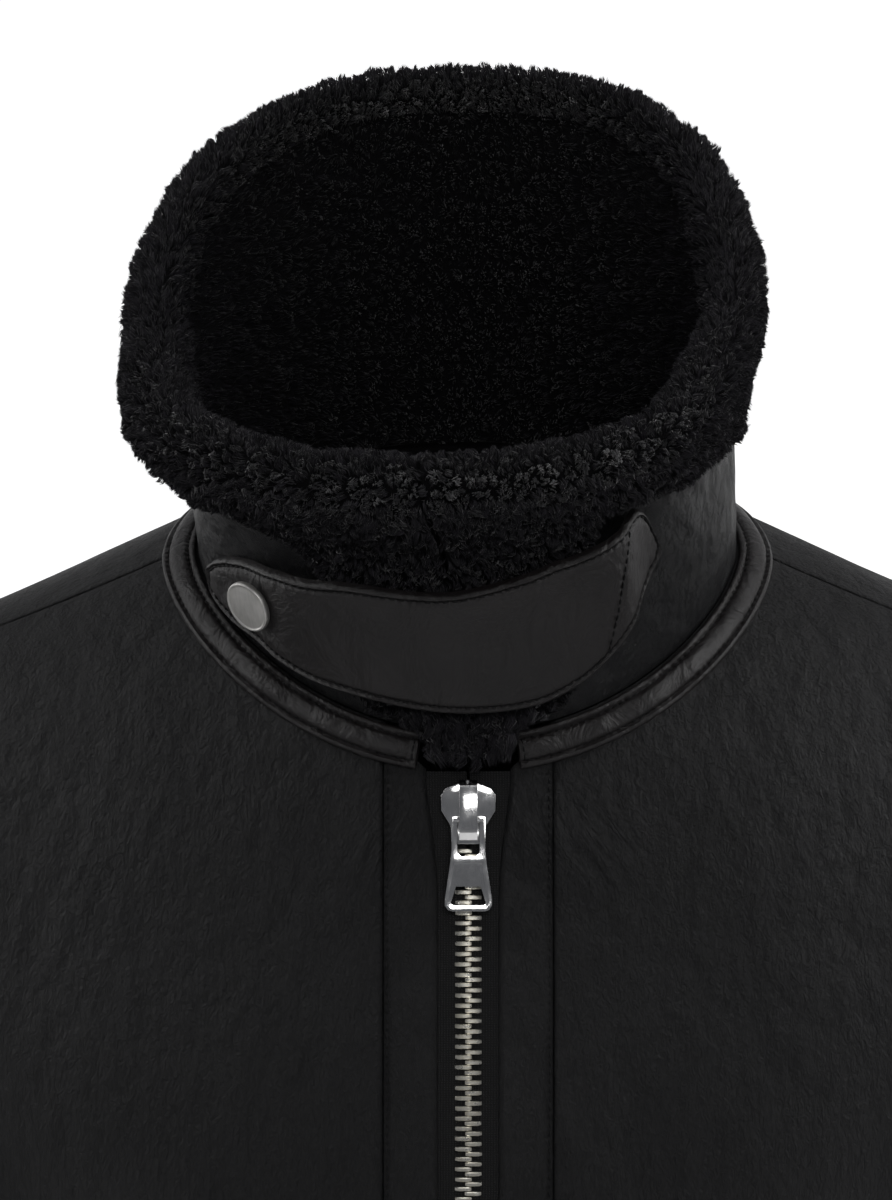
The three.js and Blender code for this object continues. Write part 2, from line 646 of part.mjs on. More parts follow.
// The leather band round the neck seam: a padded strip on the body, from one front end to the other.
function neckBand() {
  const startU = uAtX(1, 0, BAND_END_X);
  const half = [
    ...steps(startU, 1, 11).map((u) => [FRONT, u]),
    ...steps(1, 0, 9).slice(1).map((u) => [BACK, u]),
  ];
  const places = [
    ...half.map(([rows, u]) => [rows, 1, u]),
    ...half.slice(0, -1).reverse().map(([rows, u]) => [rows, -1, u]),
  ];
  const across = table("distance top", [
    [0.6, 1.6],
    [2.2, BAND_THICK],
    [BAND_WIDTH / 2, BAND_THICK + 0.7],
    [BAND_WIDTH - 2, BAND_THICK],
    [BAND_WIDTH, 1.4],
  ]);
  const rest = 0.7;
  const grid = (height) => across.map((strip) => places.map(([rows, side, u]) => {
    const v = vAtDistance(rows, side, u, strip.distance);
    return bodyPoint(rows, side, u, v, height(strip));
  }));
  return wall(grid((strip) => strip.top), grid(() => rest));
}

function strapPoint(station, share, lift) {
  const place = placeOf(STRAP, "station", station);
  const low = along(STRAP, "low", place);
  const high = along(STRAP, "high", place);
  return collarPoint(station, mix(low, high, share), along(STRAP, "lift", place) + lift);
}

function collarStrap() {
  const stations = [
    -0.69, -0.675, -0.63, -0.57, -0.48, -0.4, -0.3, -0.2, -0.1, 0,
    0.1, 0.16, 0.22, 0.28, 0.34, 0.4, 0.43, 0.465,
  ];
  const shares = [0, 0.08, 0.5, 0.92, 1];
  const crown = (share) => (share === 0 || share === 1 ? STRAP_THICK * 0.7 : STRAP_THICK);
  const grid = (lift) => shares.map((share) => (
    stations.map((station) => strapPoint(station, share, lift(share)))
  ));
  return wall(grid(crown), grid(() => 0));
}

const LATHE_SIDES = 28;

function lathe(profile) {
  const outline = profile.map(([radius, height]) => new THREE.Vector2(radius, height));
  const geometry = new THREE.LatheGeometry(outline, LATHE_SIDES);
  return asSolid(geometry, (solid) => solid);
}

function snapCap() {
  return lathe([
    [0, 0],
    [SNAP_RADIUS - 0.8, 0],
    [SNAP_RADIUS, 0.9],
    [SNAP_RADIUS, SNAP_HEIGHT - 0.8],
    [SNAP_RADIUS - 0.7, SNAP_HEIGHT],
    [SNAP_RADIUS - 1.5, SNAP_HEIGHT - 0.25],
    [0, SNAP_HEIGHT],
  ]);
}

// Zip

// The centre front as a polyline with its length from the neck seam.
const CENTRE_LINE = steps(0, ROW.hem, 400).map((v) => ({ v, point: plainBody(FRONT, 1, 0, v) }));
CENTRE_LINE.forEach((entry, i) => {
  const before = CENTRE_LINE[i - 1];
  entry.distance = before ? before.distance + before.point.distanceTo(entry.point) : 0;
});
const ZIP_LENGTH = CENTRE_LINE.at(-1).distance;

function zipDistance(v) {
  return CENTRE_LINE[Math.round((v / ROW.hem) * 400)].distance;
}

function zipFrame(distance) {
  const v = along(CENTRE_LINE, "v", placeOf(CENTRE_LINE, "distance", distance));
  const point = plainBody(FRONT, 1, 0, v);
  const down = plainBody(FRONT, 1, 0, Math.min(v + 0.05, ROW.hem))
    .sub(plainBody(FRONT, 1, 0, Math.max(v - 0.05, 0))).normalize();
  const out = vector(0, down.z, -down.y);
  return { point, down, out };
}

function zipPoint(distance, x, height) {
  const { point, out } = zipFrame(distance);
  return point.clone().add(vector(x, 0, 0)).addScaledVector(out, height);
}

// A flat bar along the zip, between two distances from the centre line and two heights.
function zipBar(distances, xRange, low, high) {
  const grid = (height) => distances.map((distance) => (
    xRange(distance).map((x) => zipPoint(distance, x, height))
  ));
  return wall(grid(high), grid(low));
}

function zipTape(side) {
  const distances = [ZIP_START, 18, 25, 32, 40, 55, 75, ...steps(110, ZIP_LENGTH - 1, 16)];
  const xRange = (distance) => (
    [CHAIN_HALF + SEAM_GAP, zipEdge(distance) - SEAM_GAP * 2].map((x) => side * x)
  );
  return zipBar(distances, xRange, TAPE_BACK, TAPE_TOP);
}

const CHAIN_END = ZIP_LENGTH - BOX_LENGTH - 1.5;
const chainRange = () => [-CHAIN_HALF, CHAIN_HALF];

function zipChain() {
  return zipBar(steps(CHAIN_START, CHAIN_END, 20), chainRange, CHAIN_BACK, CHAIN_TOP);
}

function zipBox() {
  const ends = [CHAIN_END + SEAM_GAP, CHAIN_END + BOX_LENGTH];
  return zipBar(ends, chainRange, CHAIN_BACK - 0.6, CHAIN_TOP + 0.8);
}

// Solids joined and cut

function toSolid(geometry) {
  const bare = geometry.index ? geometry.toNonIndexed() : geometry.clone();
  const position = new THREE.BufferGeometry().setAttribute("position", bare.getAttribute("position"));
  const merged = mergeVertices(position, 1e-4);
  return new wasm.Manifold(new wasm.Mesh({
    numProp: 3,
    vertProperties: new Float32Array(merged.attributes.position.array),
    triVerts: new Uint32Array(merged.index.array),
  }));
}

function toGeometry(solid) {
  const mesh = solid.getMesh();
  const geometry = new THREE.BufferGeometry();
  geometry.setAttribute("position", new THREE.BufferAttribute(new Float32Array(mesh.vertProperties), 3));
  geometry.setIndex(new THREE.BufferAttribute(new Uint32Array(mesh.triVerts), 1));
  geometry.computeVertexNormals();
  return geometry;
}

function asSolid(geometry, change) {
  return toGeometry(change(toSolid(geometry)));
}

// A flat plate with an outline in x and y, from height z0 to z1.
function plate(outline, z0, z1, holes = []) {
  const shape = new THREE.Shape(outline.map(([x, y]) => new THREE.Vector2(x, y)));
  shape.holes = holes.map((hole) => new THREE.Path(hole.map(([x, y]) => new THREE.Vector2(x, y))));
  const geometry = new THREE.ExtrudeGeometry(shape, { depth: z1 - z0, bevelEnabled: false, steps: 1 });
  return geometry.translate(0, 0, z0);
}

// An outline given by its right half, from the top down, with the left half mirrored.
const bothSides = (half) => {
  const other = half.slice().reverse().filter(([x]) => x !== 0);
  return [...half, ...other.map(([x, y]) => [-x, y])];
};

// The slider: two plates round the chain, a wedge between them, and the bridge that holds the tab.
const PLATE_TOP = 0.5;
const PLATE_BACK = -5.6;
const PLATE_THICK = 1.3;
const FLANGE_LOW = TAPE_TOP + 0.4; // the front plate's rim comes down to the tape
const SLIDER_TOP = 12.4; // from the hinge up to the head of the front plate
const SLIDER_FOOT = -8.2;
const BRIDGE_TOP = 13.6;
const BRIDGE_FOOT = -6.9;

function slider() {
  const frontOutline = bothSides([
    [3.2, SLIDER_TOP], [7.6, 10.8], [9.3, 8.4], [9.2, 3.2], [6, -2], [5.7, SLIDER_FOOT],
  ]);
  const backOutline = bothSides([
    [3.2, SLIDER_TOP], [8.5, 10.9], [11.2, 9.4], [10, 3.6], [6.2, -2], [5.7, SLIDER_FOOT],
  ]);
  const wedgeOutline = bothSides([[2.6, SLIDER_TOP - 0.6], [2.6, 8], [0, 4.6]]);
  const bridgeSide = [
    [BRIDGE_FOOT, PLATE_TOP - 0.4], [BRIDGE_TOP, PLATE_TOP - 0.4], [BRIDGE_TOP, 2.6], [11.6, 5],
    [7.5, 6.1], [0, 6.3], [-4.4, 5.5], [BRIDGE_FOOT, 3.4],
  ];
  const bridgeHole = [
    [-4.6, PLATE_TOP], [-4.6, 2.9], [-3.4, 3.8], [6.4, 4], [9.2, 2.4], [9.2, PLATE_TOP],
  ];
  const bridge = plate(bridgeSide, -BRIDGE_HALF, BRIDGE_HALF, [bridgeHole]);
  const upright = new THREE.Matrix4().makeBasis(vector(0, 1, 0), vector(0, 0, 1), vector(1, 0, 0));
  bridge.applyMatrix4(upright);
  return toGeometry([
    plate(frontOutline, FLANGE_LOW, PLATE_TOP),
    plate(backOutline, PLATE_BACK, PLATE_BACK + PLATE_THICK),
    plate(wedgeOutline, PLATE_BACK + 0.4, PLATE_TOP - 0.4),
    bridge,
  ].map(toSolid).reduce((joined, solid) => joined.add(solid)));
}

// The pull tab: a round bar in the bridge, two arms beside it, and a flared plate with an open foot.
const TAB_FOOT = -31;
const BAR_LENGTH = 10;
const BAR_SIDES = 12;

function pullTab() {
  const half = TAB_THICK / 2;
  const outline = bothSides([
    [5.8, BAR_RADIUS], [5.7, -10], [6, -13.4], [8, -27], [8, -29], [7, -30.5], [5.4, TAB_FOOT],
  ]);
  const slot = bothSides([[3.8, BAR_RADIUS + 1], [3.8, -11], [2.6, -12.4]]);
  const foot = bothSides([[4.2, -22.6], [6, -28.2], [5.3, -29]]);
  const recess = bothSides([[4.7, -14.6], [6.9, -27], [6.8, -29], [5.6, -29.9]]);
  const bar = new THREE.CylinderGeometry(BAR_RADIUS, BAR_RADIUS, BAR_LENGTH, BAR_SIDES);
  bar.rotateZ(Math.PI / 2);
  const cuts = [
    plate(slot, -half - 1, half + 1),
    plate(foot, -half - 1, half + 1),
    plate(recess, half - 0.45, half + 1),
  ];
  const whole = toSolid(plate(outline, -half, half));
  const pierced = cuts.map(toSolid).reduce((solid, cut) => solid.subtract(cut), whole);
  return toGeometry(pierced.add(toSolid(bar)));
}

// The coat

const coat = new THREE.Group();

function addPiece(name, geometry, colour, parent = coat) {
  const mesh = new THREE.Mesh(geometry, new THREE.MeshStandardMaterial(COLOURS[colour]));
  mesh.name = name;
  parent.add(mesh);
  return mesh;
}

const SIDE_NAMES = [["left", 1], ["right", -1]]; // the wearer's left is +X
SIDE_NAMES.forEach(([name, side]) => {
  addPiece(`front_${name}`, frontPanel(side), "hide");
  addPiece(`front_strip_${name}`, frontStrip(side), "hide");
  addPiece(`upper_sleeve_${name}`, sleevePart(side, true), "hide");
  addPiece(`under_sleeve_${name}`, sleevePart(side, false), "hide");
  addPiece(`zip_tape_${name}`, zipTape(side), "tape");
});
addPiece("back", backPanel(), "hide");
addPiece("collar_hide", collarHide(), "hide");
addPiece("collar_wool", collarWool(), "wool");
addPiece("neck_band", neckBand(), "smoothLeather");
addPiece("collar_strap", collarStrap(), "smoothLeather");
addPiece("zip_chain", zipChain(), "teeth");
addPiece("zip_box", zipBox(), "nickel");

const snapPlace = placeOf(STRAP, "station", SNAP_AT.station);
const snapLift = along(STRAP, "lift", snapPlace) + STRAP_THICK + SEAM_GAP * 7;
const snap = addPiece("snap_cap", snapCap(), "nickel");
const snapNormal = collarNormal(SNAP_AT.station, SNAP_AT.height);
snap.position.copy(collarPoint(SNAP_AT.station, SNAP_AT.height, snapLift));
snap.quaternion.setFromUnitVectors(vector(0, 1, 0), snapNormal);

// The slider and its tab stand in the zip's own frame, with its origin on the tab's hinge.
const hinge = zipFrame(HINGE_ALONG);
const sliderGroup = new THREE.Group();
const sliderUp = hinge.down.clone().negate();
sliderGroup.quaternion.setFromRotationMatrix(
  new THREE.Matrix4().makeBasis(vector(1, 0, 0), sliderUp, hinge.out),
);
sliderGroup.position.copy(hinge.point);
coat.add(sliderGroup);
addPiece("zip_slider", slider(), "nickel", sliderGroup);
addPiece("zip_pull", pullTab(), "nickel", sliderGroup).position.z = HINGE_HEIGHT;

export default coat;
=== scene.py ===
"""The looks of a zip-front shearling coat: hide, leather, wool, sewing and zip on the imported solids.

Lengths are millimetres until a mesh is made. +Z is up, the front faces -Y, the wearer's left is +X.
"""

import math

import bmesh
import bpy
import numpy as np
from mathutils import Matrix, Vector, kdtree


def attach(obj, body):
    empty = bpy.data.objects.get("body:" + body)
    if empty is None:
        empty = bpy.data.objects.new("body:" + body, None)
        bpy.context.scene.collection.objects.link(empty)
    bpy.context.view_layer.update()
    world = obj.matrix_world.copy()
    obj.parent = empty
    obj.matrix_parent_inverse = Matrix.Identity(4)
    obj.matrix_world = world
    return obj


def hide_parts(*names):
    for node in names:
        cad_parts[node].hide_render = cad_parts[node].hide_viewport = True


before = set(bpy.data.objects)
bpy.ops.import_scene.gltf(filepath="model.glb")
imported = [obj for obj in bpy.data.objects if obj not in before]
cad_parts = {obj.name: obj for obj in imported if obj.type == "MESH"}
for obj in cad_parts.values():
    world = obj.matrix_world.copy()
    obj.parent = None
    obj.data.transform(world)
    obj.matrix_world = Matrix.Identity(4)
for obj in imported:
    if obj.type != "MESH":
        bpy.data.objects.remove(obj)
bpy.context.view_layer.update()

MM = 0.001
PHOTO_WIDTH, PHOTO_HEIGHT = 892, 1200
rng = np.random.default_rng(7)

# Wall thicknesses, as in the solids
COAT_WALL = 7.0
HIDE = 2.0
PANEL_HIDE = 1.8
COLLAR_WOOL = 8.5
SEAM_GAP = 0.34

# Front opening and zip
PLACKET_X = 29.0
ZIP_EDGE_X = 10.3
ZIP_MOUTH_X = 4.2
ZIP_MOUTH_LENGTH = 24.0
THROAT_DROP = 11.2
THROAT_HALF = 13.8
THROAT_LEAN = 0.45
THROAT_HEIGHT = 0.14
ZIP_START = 12.8
CHAIN_START = 40.0
BOX_LENGTH = 13.0
TAPE_TOP = -2.6
TAPE_BACK = -3.9
TAPE_MEET = 0.5
TOOTH_PITCH = 3.5
TOOTH_MIDDLE = -2.7

# Neck band, strap and snap
BAND_WIDTH = 13.5
BAND_END_X = 15.8
BAND_GROOVES = (3.2, 11.0)  # how far the two rows of stitches lie below the neck seam
STRAP_THICK = 3.0
STRAP_END_LINE = (0.27, 0.375)  # the stations of the sewn end's stitches at the lower and upper edge

# Sewing
STITCH_PITCH = 3.0
STITCH_LENGTH = 2.3
STITCH_RADIUS = 0.38
TOPSTITCH_INSET = 2.4
SEAM_INSET = 1.3
DENT_DEPTH = 0.75
DENT_SPREAD = 0.8
EDGE_ROUND = 1.6
SEAM_ROUND = 1.1
SEEN_LENGTH = 330.0  # how far down the zip the finer rows reach


def table(columns, rows):
    names = columns.split()
    return {name: np.array([row[i] for row in rows], float) for i, name in enumerate(names)}


BODY_COLUMNS = "centreY centreZ reach sideX sideY sideZ edgeX edgeY edgeZ"
# Rows from the neck seam down: neck, yoke, tip, high, mid, low, pit, chest, waist, hip, hem.
FRONT = table(BODY_COLUMNS, [
    [-79, -37.5, 59, 97.5, -41, 1, 95.5, -5, 6],
    [-97, -78, 80, 146, -58, -28.5, 150, -12, -16],
    [-121, -135, 94, 214, -66, -72, 236, -12, -50],
    [-133, -170, 98, 186, -88, -110, 208, -52, -95],
    [-141, -204, 102, 176, -104, -152, 196, -72, -148],
    [-147, -238, 106, 184, -102, -200, 195, -60, -200],
    [-150, -275, 110, 197, -84, -244, 203, 0, -240],
    [-152, -345, 112, 202, -80, -334, 201, 0, -330],
    [-147, -475, 110, 197, -76, -470, 197, 2, -470],
    [-143, -620, 112, 204, -75, -617, 204, 3, -615],
    [-145, -745, 114, 211, -76, -743, 211, 4, -742],
])
BACK = table(BODY_COLUMNS, [
    [80, 18, 57, 93.5, 37, 14, 95.5, -5, 6],
    [94, -22, 80, 152, 38, -3, 150, -12, -16],
    [110, -74, 98, 228, 44, -40, 236, -12, -50],
    [117, -112, 98, 194, 78, -98, 212, 46, -94],
    [122, -152, 100, 182, 96, -148, 203, 72, -148],
    [124, -196, 104, 188, 90, -200, 203, 60, -205],
    [124, -246, 108, 198, 74, -244, 203, 0, -240],
    [120, -332, 108, 201, 66, -332, 201, 0, -330],
    [110, -470, 104, 197, 62, -470, 197, 2, -470],
    [118, -615, 106, 204, 67, -615, 204, 3, -615],
    [125, -742, 110, 211, 72, -742, 211, 4, -742],
])
TIP, PIT, HEM = 2, 6, 10
CORNERS = (TIP, PIT)

BODY_FOLDS = table("front side down across longSpread acrossSpread depth", [
    [1, 1, 9.4, 0.74, 1.6, 0.09, 5],
    [1, 1, 7.2, 0.92, 0.9, 0.12, -4],
    [1, -1, 9.2, 0.7, 1.7, 0.1, 5],
    [1, -1, 6.7, 0.88, 0.8, 0.12, -4],
    [0, 1, 9.3, 0.62, 1.8, 0.12, 6],
    [0, 1, 8.3, 0.2, 1.2, 0.16, -5],
    [0, -1, 9.5, 0.55, 1.6, 0.12, 6],
    [0, -1, 7.9, 0.3, 1.1, 0.15, -4],
])

SLEEVE = table("x y z pitch swing outHalf foreHalf", [
    [215, 0, -144, 10, 0, 96, 76],
    [241, 0, -157, 24, 0, 91, 78],
    [261, 0, -178, 41, 0, 84, 78],
    [272, 1, -221, 60, 0, 73, 76],
    [274, 3, -292, 76, 0, 64, 72],
    [280, 5, -372, 80, 2, 60, 68],
    [286, 3, -440, 82, 7, 58, 65],
    [292, -8, -510, 83, 11, 54, 60],
    [298, -23, -592, 84, 12, 50, 55],
    [305, -42, -690, 84, 12, 47, 50],
])
CUFF = 9
SLEEVE_FOLDS = table("arm at round atSpread roundSpread depth", [
    [1, 5.6, 120, 0.22, 55, -6],
    [1, 6.15, 95, 0.2, 50, -6],
    [1, 6.75, 130, 0.2, 45, -5],
    [1, 5.9, 20, 0.5, 60, 3],
    [1, 8.4, 75, 0.22, 60, -4],
    [1, 3.4, 150, 0.35, 40, -4],
    [-1, 5.4, 110, 0.22, 50, -6],
    [-1, 6.0, 135, 0.2, 50, -6],
    [-1, 6.6, 90, 0.22, 55, -5],
    [-1, 6.1, 10, 0.5, 60, 3],
    [-1, 8.1, 90, 0.22, 60, -4],
    [-1, 3.7, 140, 0.35, 40, -4],
])
ARM_STEPS = 9
UPPER_SEAM_STEP = 5

COLLAR_HALF = [
    [-1.75, -57, 98, 136, 0.6, 12],
    [-1.5, -91.5, 68, 120.5, 0.45, 12.5],
    [-1.25, -107, 30, 96, 0.34, 13.5],
    [-1, -107, -8, 72, 0.31, 14.5],
    [-0.7, -100, -48, 63, 0.5, 16],
    [-0.5, -83, -74, 60, 0.71, 16],
    [-0.34, -63, -90.5, 59, 0.66, 15.5],
    [-0.29, -56, -94.5, 58, 0.59, 15.5],
    [-0.22, -46, -98.5, 58, 0.03, 15.5],
    [0, -14, -104, 59, 0.02, 15.5],
    [0.2, 21, -100, 60.5, 0.03, 15],
    [0.26, 30.5, -97, 61, 0.2, 14.5],
    [0.3, 36.5, -94, 62, 0.8, 14],
    [0.42, 52, -85, 64, 0.79, 13.5],
    [0.6, 70.5, -66, 69, 0.73, 13.5],
    [1, 91, -6, 86, 0.44, 12.5],
    [1.25, 91, 30, 106, 0.46, 12],
    [1.5, 80.5, 64, 126, 0.54, 12],
    [1.75, 50, 96, 139.5, 0.62, 12],
    [2, -6, 109, 142, 0.66, 12],
]
LOOP = 4  # stations all round


def shifted(rows, by):
    return [[row[0] + by, *row[1:]] for row in rows]


COLLAR = table(
    "station rimX rimY rimZ foldEdge roll",
    shifted(COLLAR_HALF[-2:], -LOOP) + COLLAR_HALF + shifted(COLLAR_HALF[:2], LOOP),
)
FLARE_OUT = 0.25
FLARE_UP = 0.6
FACING_WOOL = 5.0
ROLL_FOOT = 0.58
HIDE_TOP = 0.93

STRAP = table("station low high lift", [
    [-0.69, 0.12, 0.19, 1],
    [-0.675, 0.075, 0.225, 1],
    [-0.63, 0.06, 0.3, 1],
    [-0.57, 0.06, 0.375, 1],
    [-0.48, 0.085, 0.45, 1.8],
    [-0.4, 0.105, 0.51, 5.6],
    [-0.3, 0.12, 0.56, 8.2],
    [-0.2, 0.125, 0.59, 8.4],
    [0, 0.115, 0.58, 8.6],
    [0.14, 0.12, 0.63, 8.6],
    [0.22, 0.16, 0.675, 8.8],
    [0.28, 0.225, 0.7, 9.8],
    [0.34, 0.3, 0.725, 8.8],
    [0.4, 0.39, 0.75, 3.2],
    [0.43, 0.43, 0.67, 1.6],
    [0.465, 0.475, 0.495, 1],
])
SNAP_STATION, SNAP_UP = -0.46, 0.295


# Numbers and curves

def mix(a, b, t):
    return a + (b - a) * t


def smooth(t):
    c = np.clip(t, 0, 1)
    return c * c * (3 - 2 * c)


def bell(distance, spread):
    return np.exp(-((distance / spread) ** 2))


def along(column, t, corners=()):
    """A smooth run through a table's column, at places t counted in rows."""
    last = len(column) - 1
    t = np.asarray(t, float)
    i = np.clip(np.floor(t).astype(int), 0, last - 1)
    f = np.clip(t - i, 0, 1)

    def value(k):
        return column[np.clip(k, 0, last)]

    def is_open(k):
        return (k > 0) & (k < last) & ~np.isin(k, corners)

    step = value(i + 1) - value(i)
    start = np.where(is_open(i), (value(i + 1) - value(i - 1)) / 2, step)
    end = np.where(is_open(i + 1), (value(i + 2) - value(i)) / 2, step)
    f2, f3 = f * f, f * f * f
    return (
        (2 * f3 - 3 * f2 + 1) * value(i)
        + (f3 - 2 * f2 + f) * start
        + (3 * f2 - 2 * f3) * value(i + 1)
        + (f3 - f2) * end
    )


def place_of(keys, value):
    return np.interp(value, keys, np.arange(len(keys)))


def solve(fn, target, low, high):
    """Where a rising function reaches a target, by halving, for whole arrays."""
    a = np.zeros(np.shape(target)) + low
    b = np.zeros(np.shape(target)) + high
    for _ in range(26):
        middle = (a + b) / 2
        below = fn(middle) < target
        a, b = np.where(below, middle, a), np.where(below, b, middle)
    return (a + b) / 2


def vec(x, y, z):
    return np.stack(np.broadcast_arrays(x, y, z), axis=-1).astype(float)


def scaled(vectors, amount):
    return vectors * np.asarray(amount, float)[..., None]


def unit(vectors):
    return vectors / np.maximum(np.linalg.norm(vectors, axis=-1, keepdims=True), 1e-9)


def dot(a, b):
    return np.sum(a * b, axis=-1)


def bezier(p0, p1, p2, p3, t):
    t = np.asarray(t, float)
    s = 1 - t
    return (
        scaled(p0, s * s * s)
        + scaled(p1, 3 * s * s * t)
        + scaled(p2, 3 * s * t * t)
        + scaled(p3, t * t * t)
    )


def normal_of(surface, a, b, towards, step):
    da = surface(a + step, b) - surface(a - step, b)
    db = surface(a, b + step) - surface(a, b - step)
    normal = unit(np.cross(da, db))
    return normal * np.where(dot(normal, towards) < 0, -1.0, 1.0)[..., None]


def lumps(points, size, seed=0):
    """Soft unevenness from -1 to 1, with bumps of about the size given."""
    turns = np.random.default_rng(seed).normal(size=(9, 3))
    turns = unit(turns) * (2.2 / size)
    shifts = np.random.default_rng(seed + 1).uniform(0, 6.3, 9)
    waves = np.sin(points @ turns.T + shifts)
    return (waves[..., 0:3] * waves[..., 3:6] + waves[..., 6:9] * 0.6).sum(-1) / 2.6


# Body surface: s runs from -1 to 1 across a panel pair with the centre line at 0, v down the rows.

def edge_point(rows, side, v):
    return vec(
        side * along(rows["edgeX"], v, CORNERS),
        along(rows["edgeY"], v, CORNERS),
        along(rows["edgeZ"], v, CORNERS),
    )


def plain_body(rows, s, v):
    s, v = np.broadcast_arrays(np.asarray(s, float), np.asarray(v, float))
    side = np.where(s < 0, -1.0, 1.0)
    centre = vec(0, along(rows["centreY"], v), along(rows["centreZ"], v))
    start = centre + vec(side * along(rows["reach"], v), 0, 0)
    end = vec(side * along(rows["sideX"], v), along(rows["sideY"], v), along(rows["sideZ"], v))
    return bezier(centre, start, end, edge_point(rows, side, v), np.abs(s))


def body_normal(rows, s, v):
    s, v = np.broadcast_arrays(np.asarray(s, float), np.asarray(v, float))
    side = np.where(s < 0, -1.0, 1.0)
    inside = side * np.clip(np.abs(s), 0.004, 0.996)
    down = np.clip(v, 0.004, HEM - 0.004)
    towards = plain_body(rows, inside, down)
    towards[..., 2] = 30
    return normal_of(lambda a, b: plain_body(rows, a, b), inside, down, towards, 0.004)


def fold_height(rows, s, v):
    u = np.abs(s)
    height = np.zeros(np.broadcast(u, v).shape)
    for i in range(len(BODY_FOLDS["side"])):
        fold = {name: column[i] for name, column in BODY_FOLDS.items()}
        if (fold["front"] == 1) != (rows is FRONT):
            continue
        bump = bell(v - fold["down"], fold["longSpread"]) * bell(u - fold["across"], fold["acrossSpread"])
        height += fold["depth"] * bump * (np.sign(s) == fold["side"])
    return height * smooth((1 - u) / 0.12) * smooth(u / 0.25)


def body_point(rows, s, v, height=0.0):
    lift = height + fold_height(rows, s, v)
    return plain_body(rows, s, v) + scaled(body_normal(rows, s, v), lift)


def s_at_x(side, v, x):
    v = np.asarray(v, float)
    x = np.broadcast_to(np.asarray(x, float), v.shape)
    return side * solve(lambda u: np.abs(plain_body(FRONT, side * u, v)[..., 0]), x, 0, 1)


def v_at_distance(rows, s, distance):
    start = plain_body(rows, s, 0 * np.asarray(s, float))
    return solve(
        lambda v: np.linalg.norm(plain_body(rows, s, v) - start, axis=-1),
        np.asarray(distance, float) + 0 * s, 0, 1,
    )


# The zip's line down the centre front
LINE_V = np.linspace(0, HEM, 401)
LINE_POINTS = plain_body(FRONT, 0 * LINE_V, LINE_V)
LINE_DISTANCE = np.concatenate([[0], np.cumsum(np.linalg.norm(np.diff(LINE_POINTS, axis=0), axis=1))])
ZIP_LENGTH = LINE_DISTANCE[-1]
CHAIN_END = ZIP_LENGTH - BOX_LENGTH - 1.5


def zip_frame(distance):
    v = np.interp(distance, LINE_DISTANCE, LINE_V)
    point = plain_body(FRONT, 0 * v, v)
    down = unit(
        plain_body(FRONT, 0 * v, np.minimum(v + 0.05, HEM))
        - plain_body(FRONT, 0 * v, np.maximum(v - 0.05, 0))
    )
    out = vec(0, down[..., 2], -down[..., 1])
    return point, down, out


def zip_point(distance, x, height):
    distance, x, height = np.broadcast_arrays(*(np.asarray(a, float) for a in (distance, x, height)))
    point, _, out = zip_frame(distance)
    return point + vec(x, 0, 0) + scaled(out, height)


def zip_edge(distance):
    return ZIP_EDGE_X + ZIP_MOUTH_X * bell(distance - ZIP_START, ZIP_MOUTH_LENGTH)


# Sleeves

def ring_frame(t):
    pitch = np.radians(along(SLEEVE["pitch"], t))
    swing = np.radians(along(SLEEVE["swing"], t))
    axis = vec(np.cos(pitch), -np.sin(swing) * np.sin(pitch), -np.sin(pitch) * np.cos(swing))
    forward = vec(0, -np.cos(swing), np.sin(swing))
    out = unit(np.cross(axis, forward))
    out = out * np.where(out[..., 2] + out[..., 0] < 0, -1.0, 1.0)[..., None]
    middle = vec(along(SLEEVE["x"], t), along(SLEEVE["y"], t), along(SLEEVE["z"], t))
    return middle, out, forward, along(SLEEVE["outHalf"], t), along(SLEEVE["foreHalf"], t)


def ring_point(ring, angle):
    middle, out, forward, out_half, fore_half = ring
    return middle + scaled(out, out_half * np.cos(angle)) + scaled(forward, fore_half * np.sin(angle))


def armhole_place(step):
    """The armhole's point at a step from the shoulder tip: forwards if it is positive, else backwards."""
    v = mix(TIP, PIT, np.abs(step) / ARM_STEPS)
    front, back = edge_point(FRONT, 1, v), edge_point(BACK, 1, v)
    point = np.where((step >= 0)[..., None], front, back)
    ring = ring_frame(np.zeros(np.shape(step)))
    away = point - ring[0]
    angle = np.arctan2(dot(away, ring[2]) / ring[4], dot(away, ring[1]) / ring[3])
    angle = np.where((step > 0) & (angle < -1), angle + 2 * math.pi, angle)
    angle = np.where((step < 0) & (angle > 1), angle - 2 * math.pi, angle)
    return angle, point - ring_point(ring, angle)


def crease_height(arm, t, angle):
    degrees = np.degrees(angle)
    height = 0
    for i in range(len(SLEEVE_FOLDS["arm"])):
        fold = {name: column[i] for name, column in SLEEVE_FOLDS.items()}
        if fold["arm"] != arm:
            continue
        apart = ((degrees - fold["round"] + 540) % 360) - 180
        ridge = fold["depth"] * bell(t - fold["at"], fold["atSpread"])
        height = height + ridge * bell(apart, fold["roundSpread"])
    return height


def sleeve_point(arm, t, step, depth=0.0):
    t, step = np.broadcast_arrays(np.asarray(t, float), np.asarray(step, float))
    angle, offset = armhole_place(step)
    even = step / ARM_STEPS * math.pi
    spread = mix(angle, even, smooth(t / 4))
    ring = ring_frame(t)
    point = ring_point(ring, spread) + scaled(offset, 1 - smooth(t / 2))
    inward = unit(ring[0] - point)
    point = point + scaled(inward, depth - crease_height(arm, t, spread) * smooth(t / 3))
    return point * np.array([arm, 1, 1])


# Collar: stations run round the neck, 0 at the centre front, -2 and 2 at the centre back.

def neck_seam(station):
    turn = np.abs(station)
    side = np.where(station < 0, -1.0, 1.0)
    front = plain_body(FRONT, side * np.minimum(turn, 1), 0 * turn)
    back = plain_body(BACK, side * np.clip(2 - turn, 0, 1), 0 * turn)
    return np.where((turn <= 1)[..., None], front, back)


def collar_column(name, station):
    return along(COLLAR[name], place_of(COLLAR["station"], station))


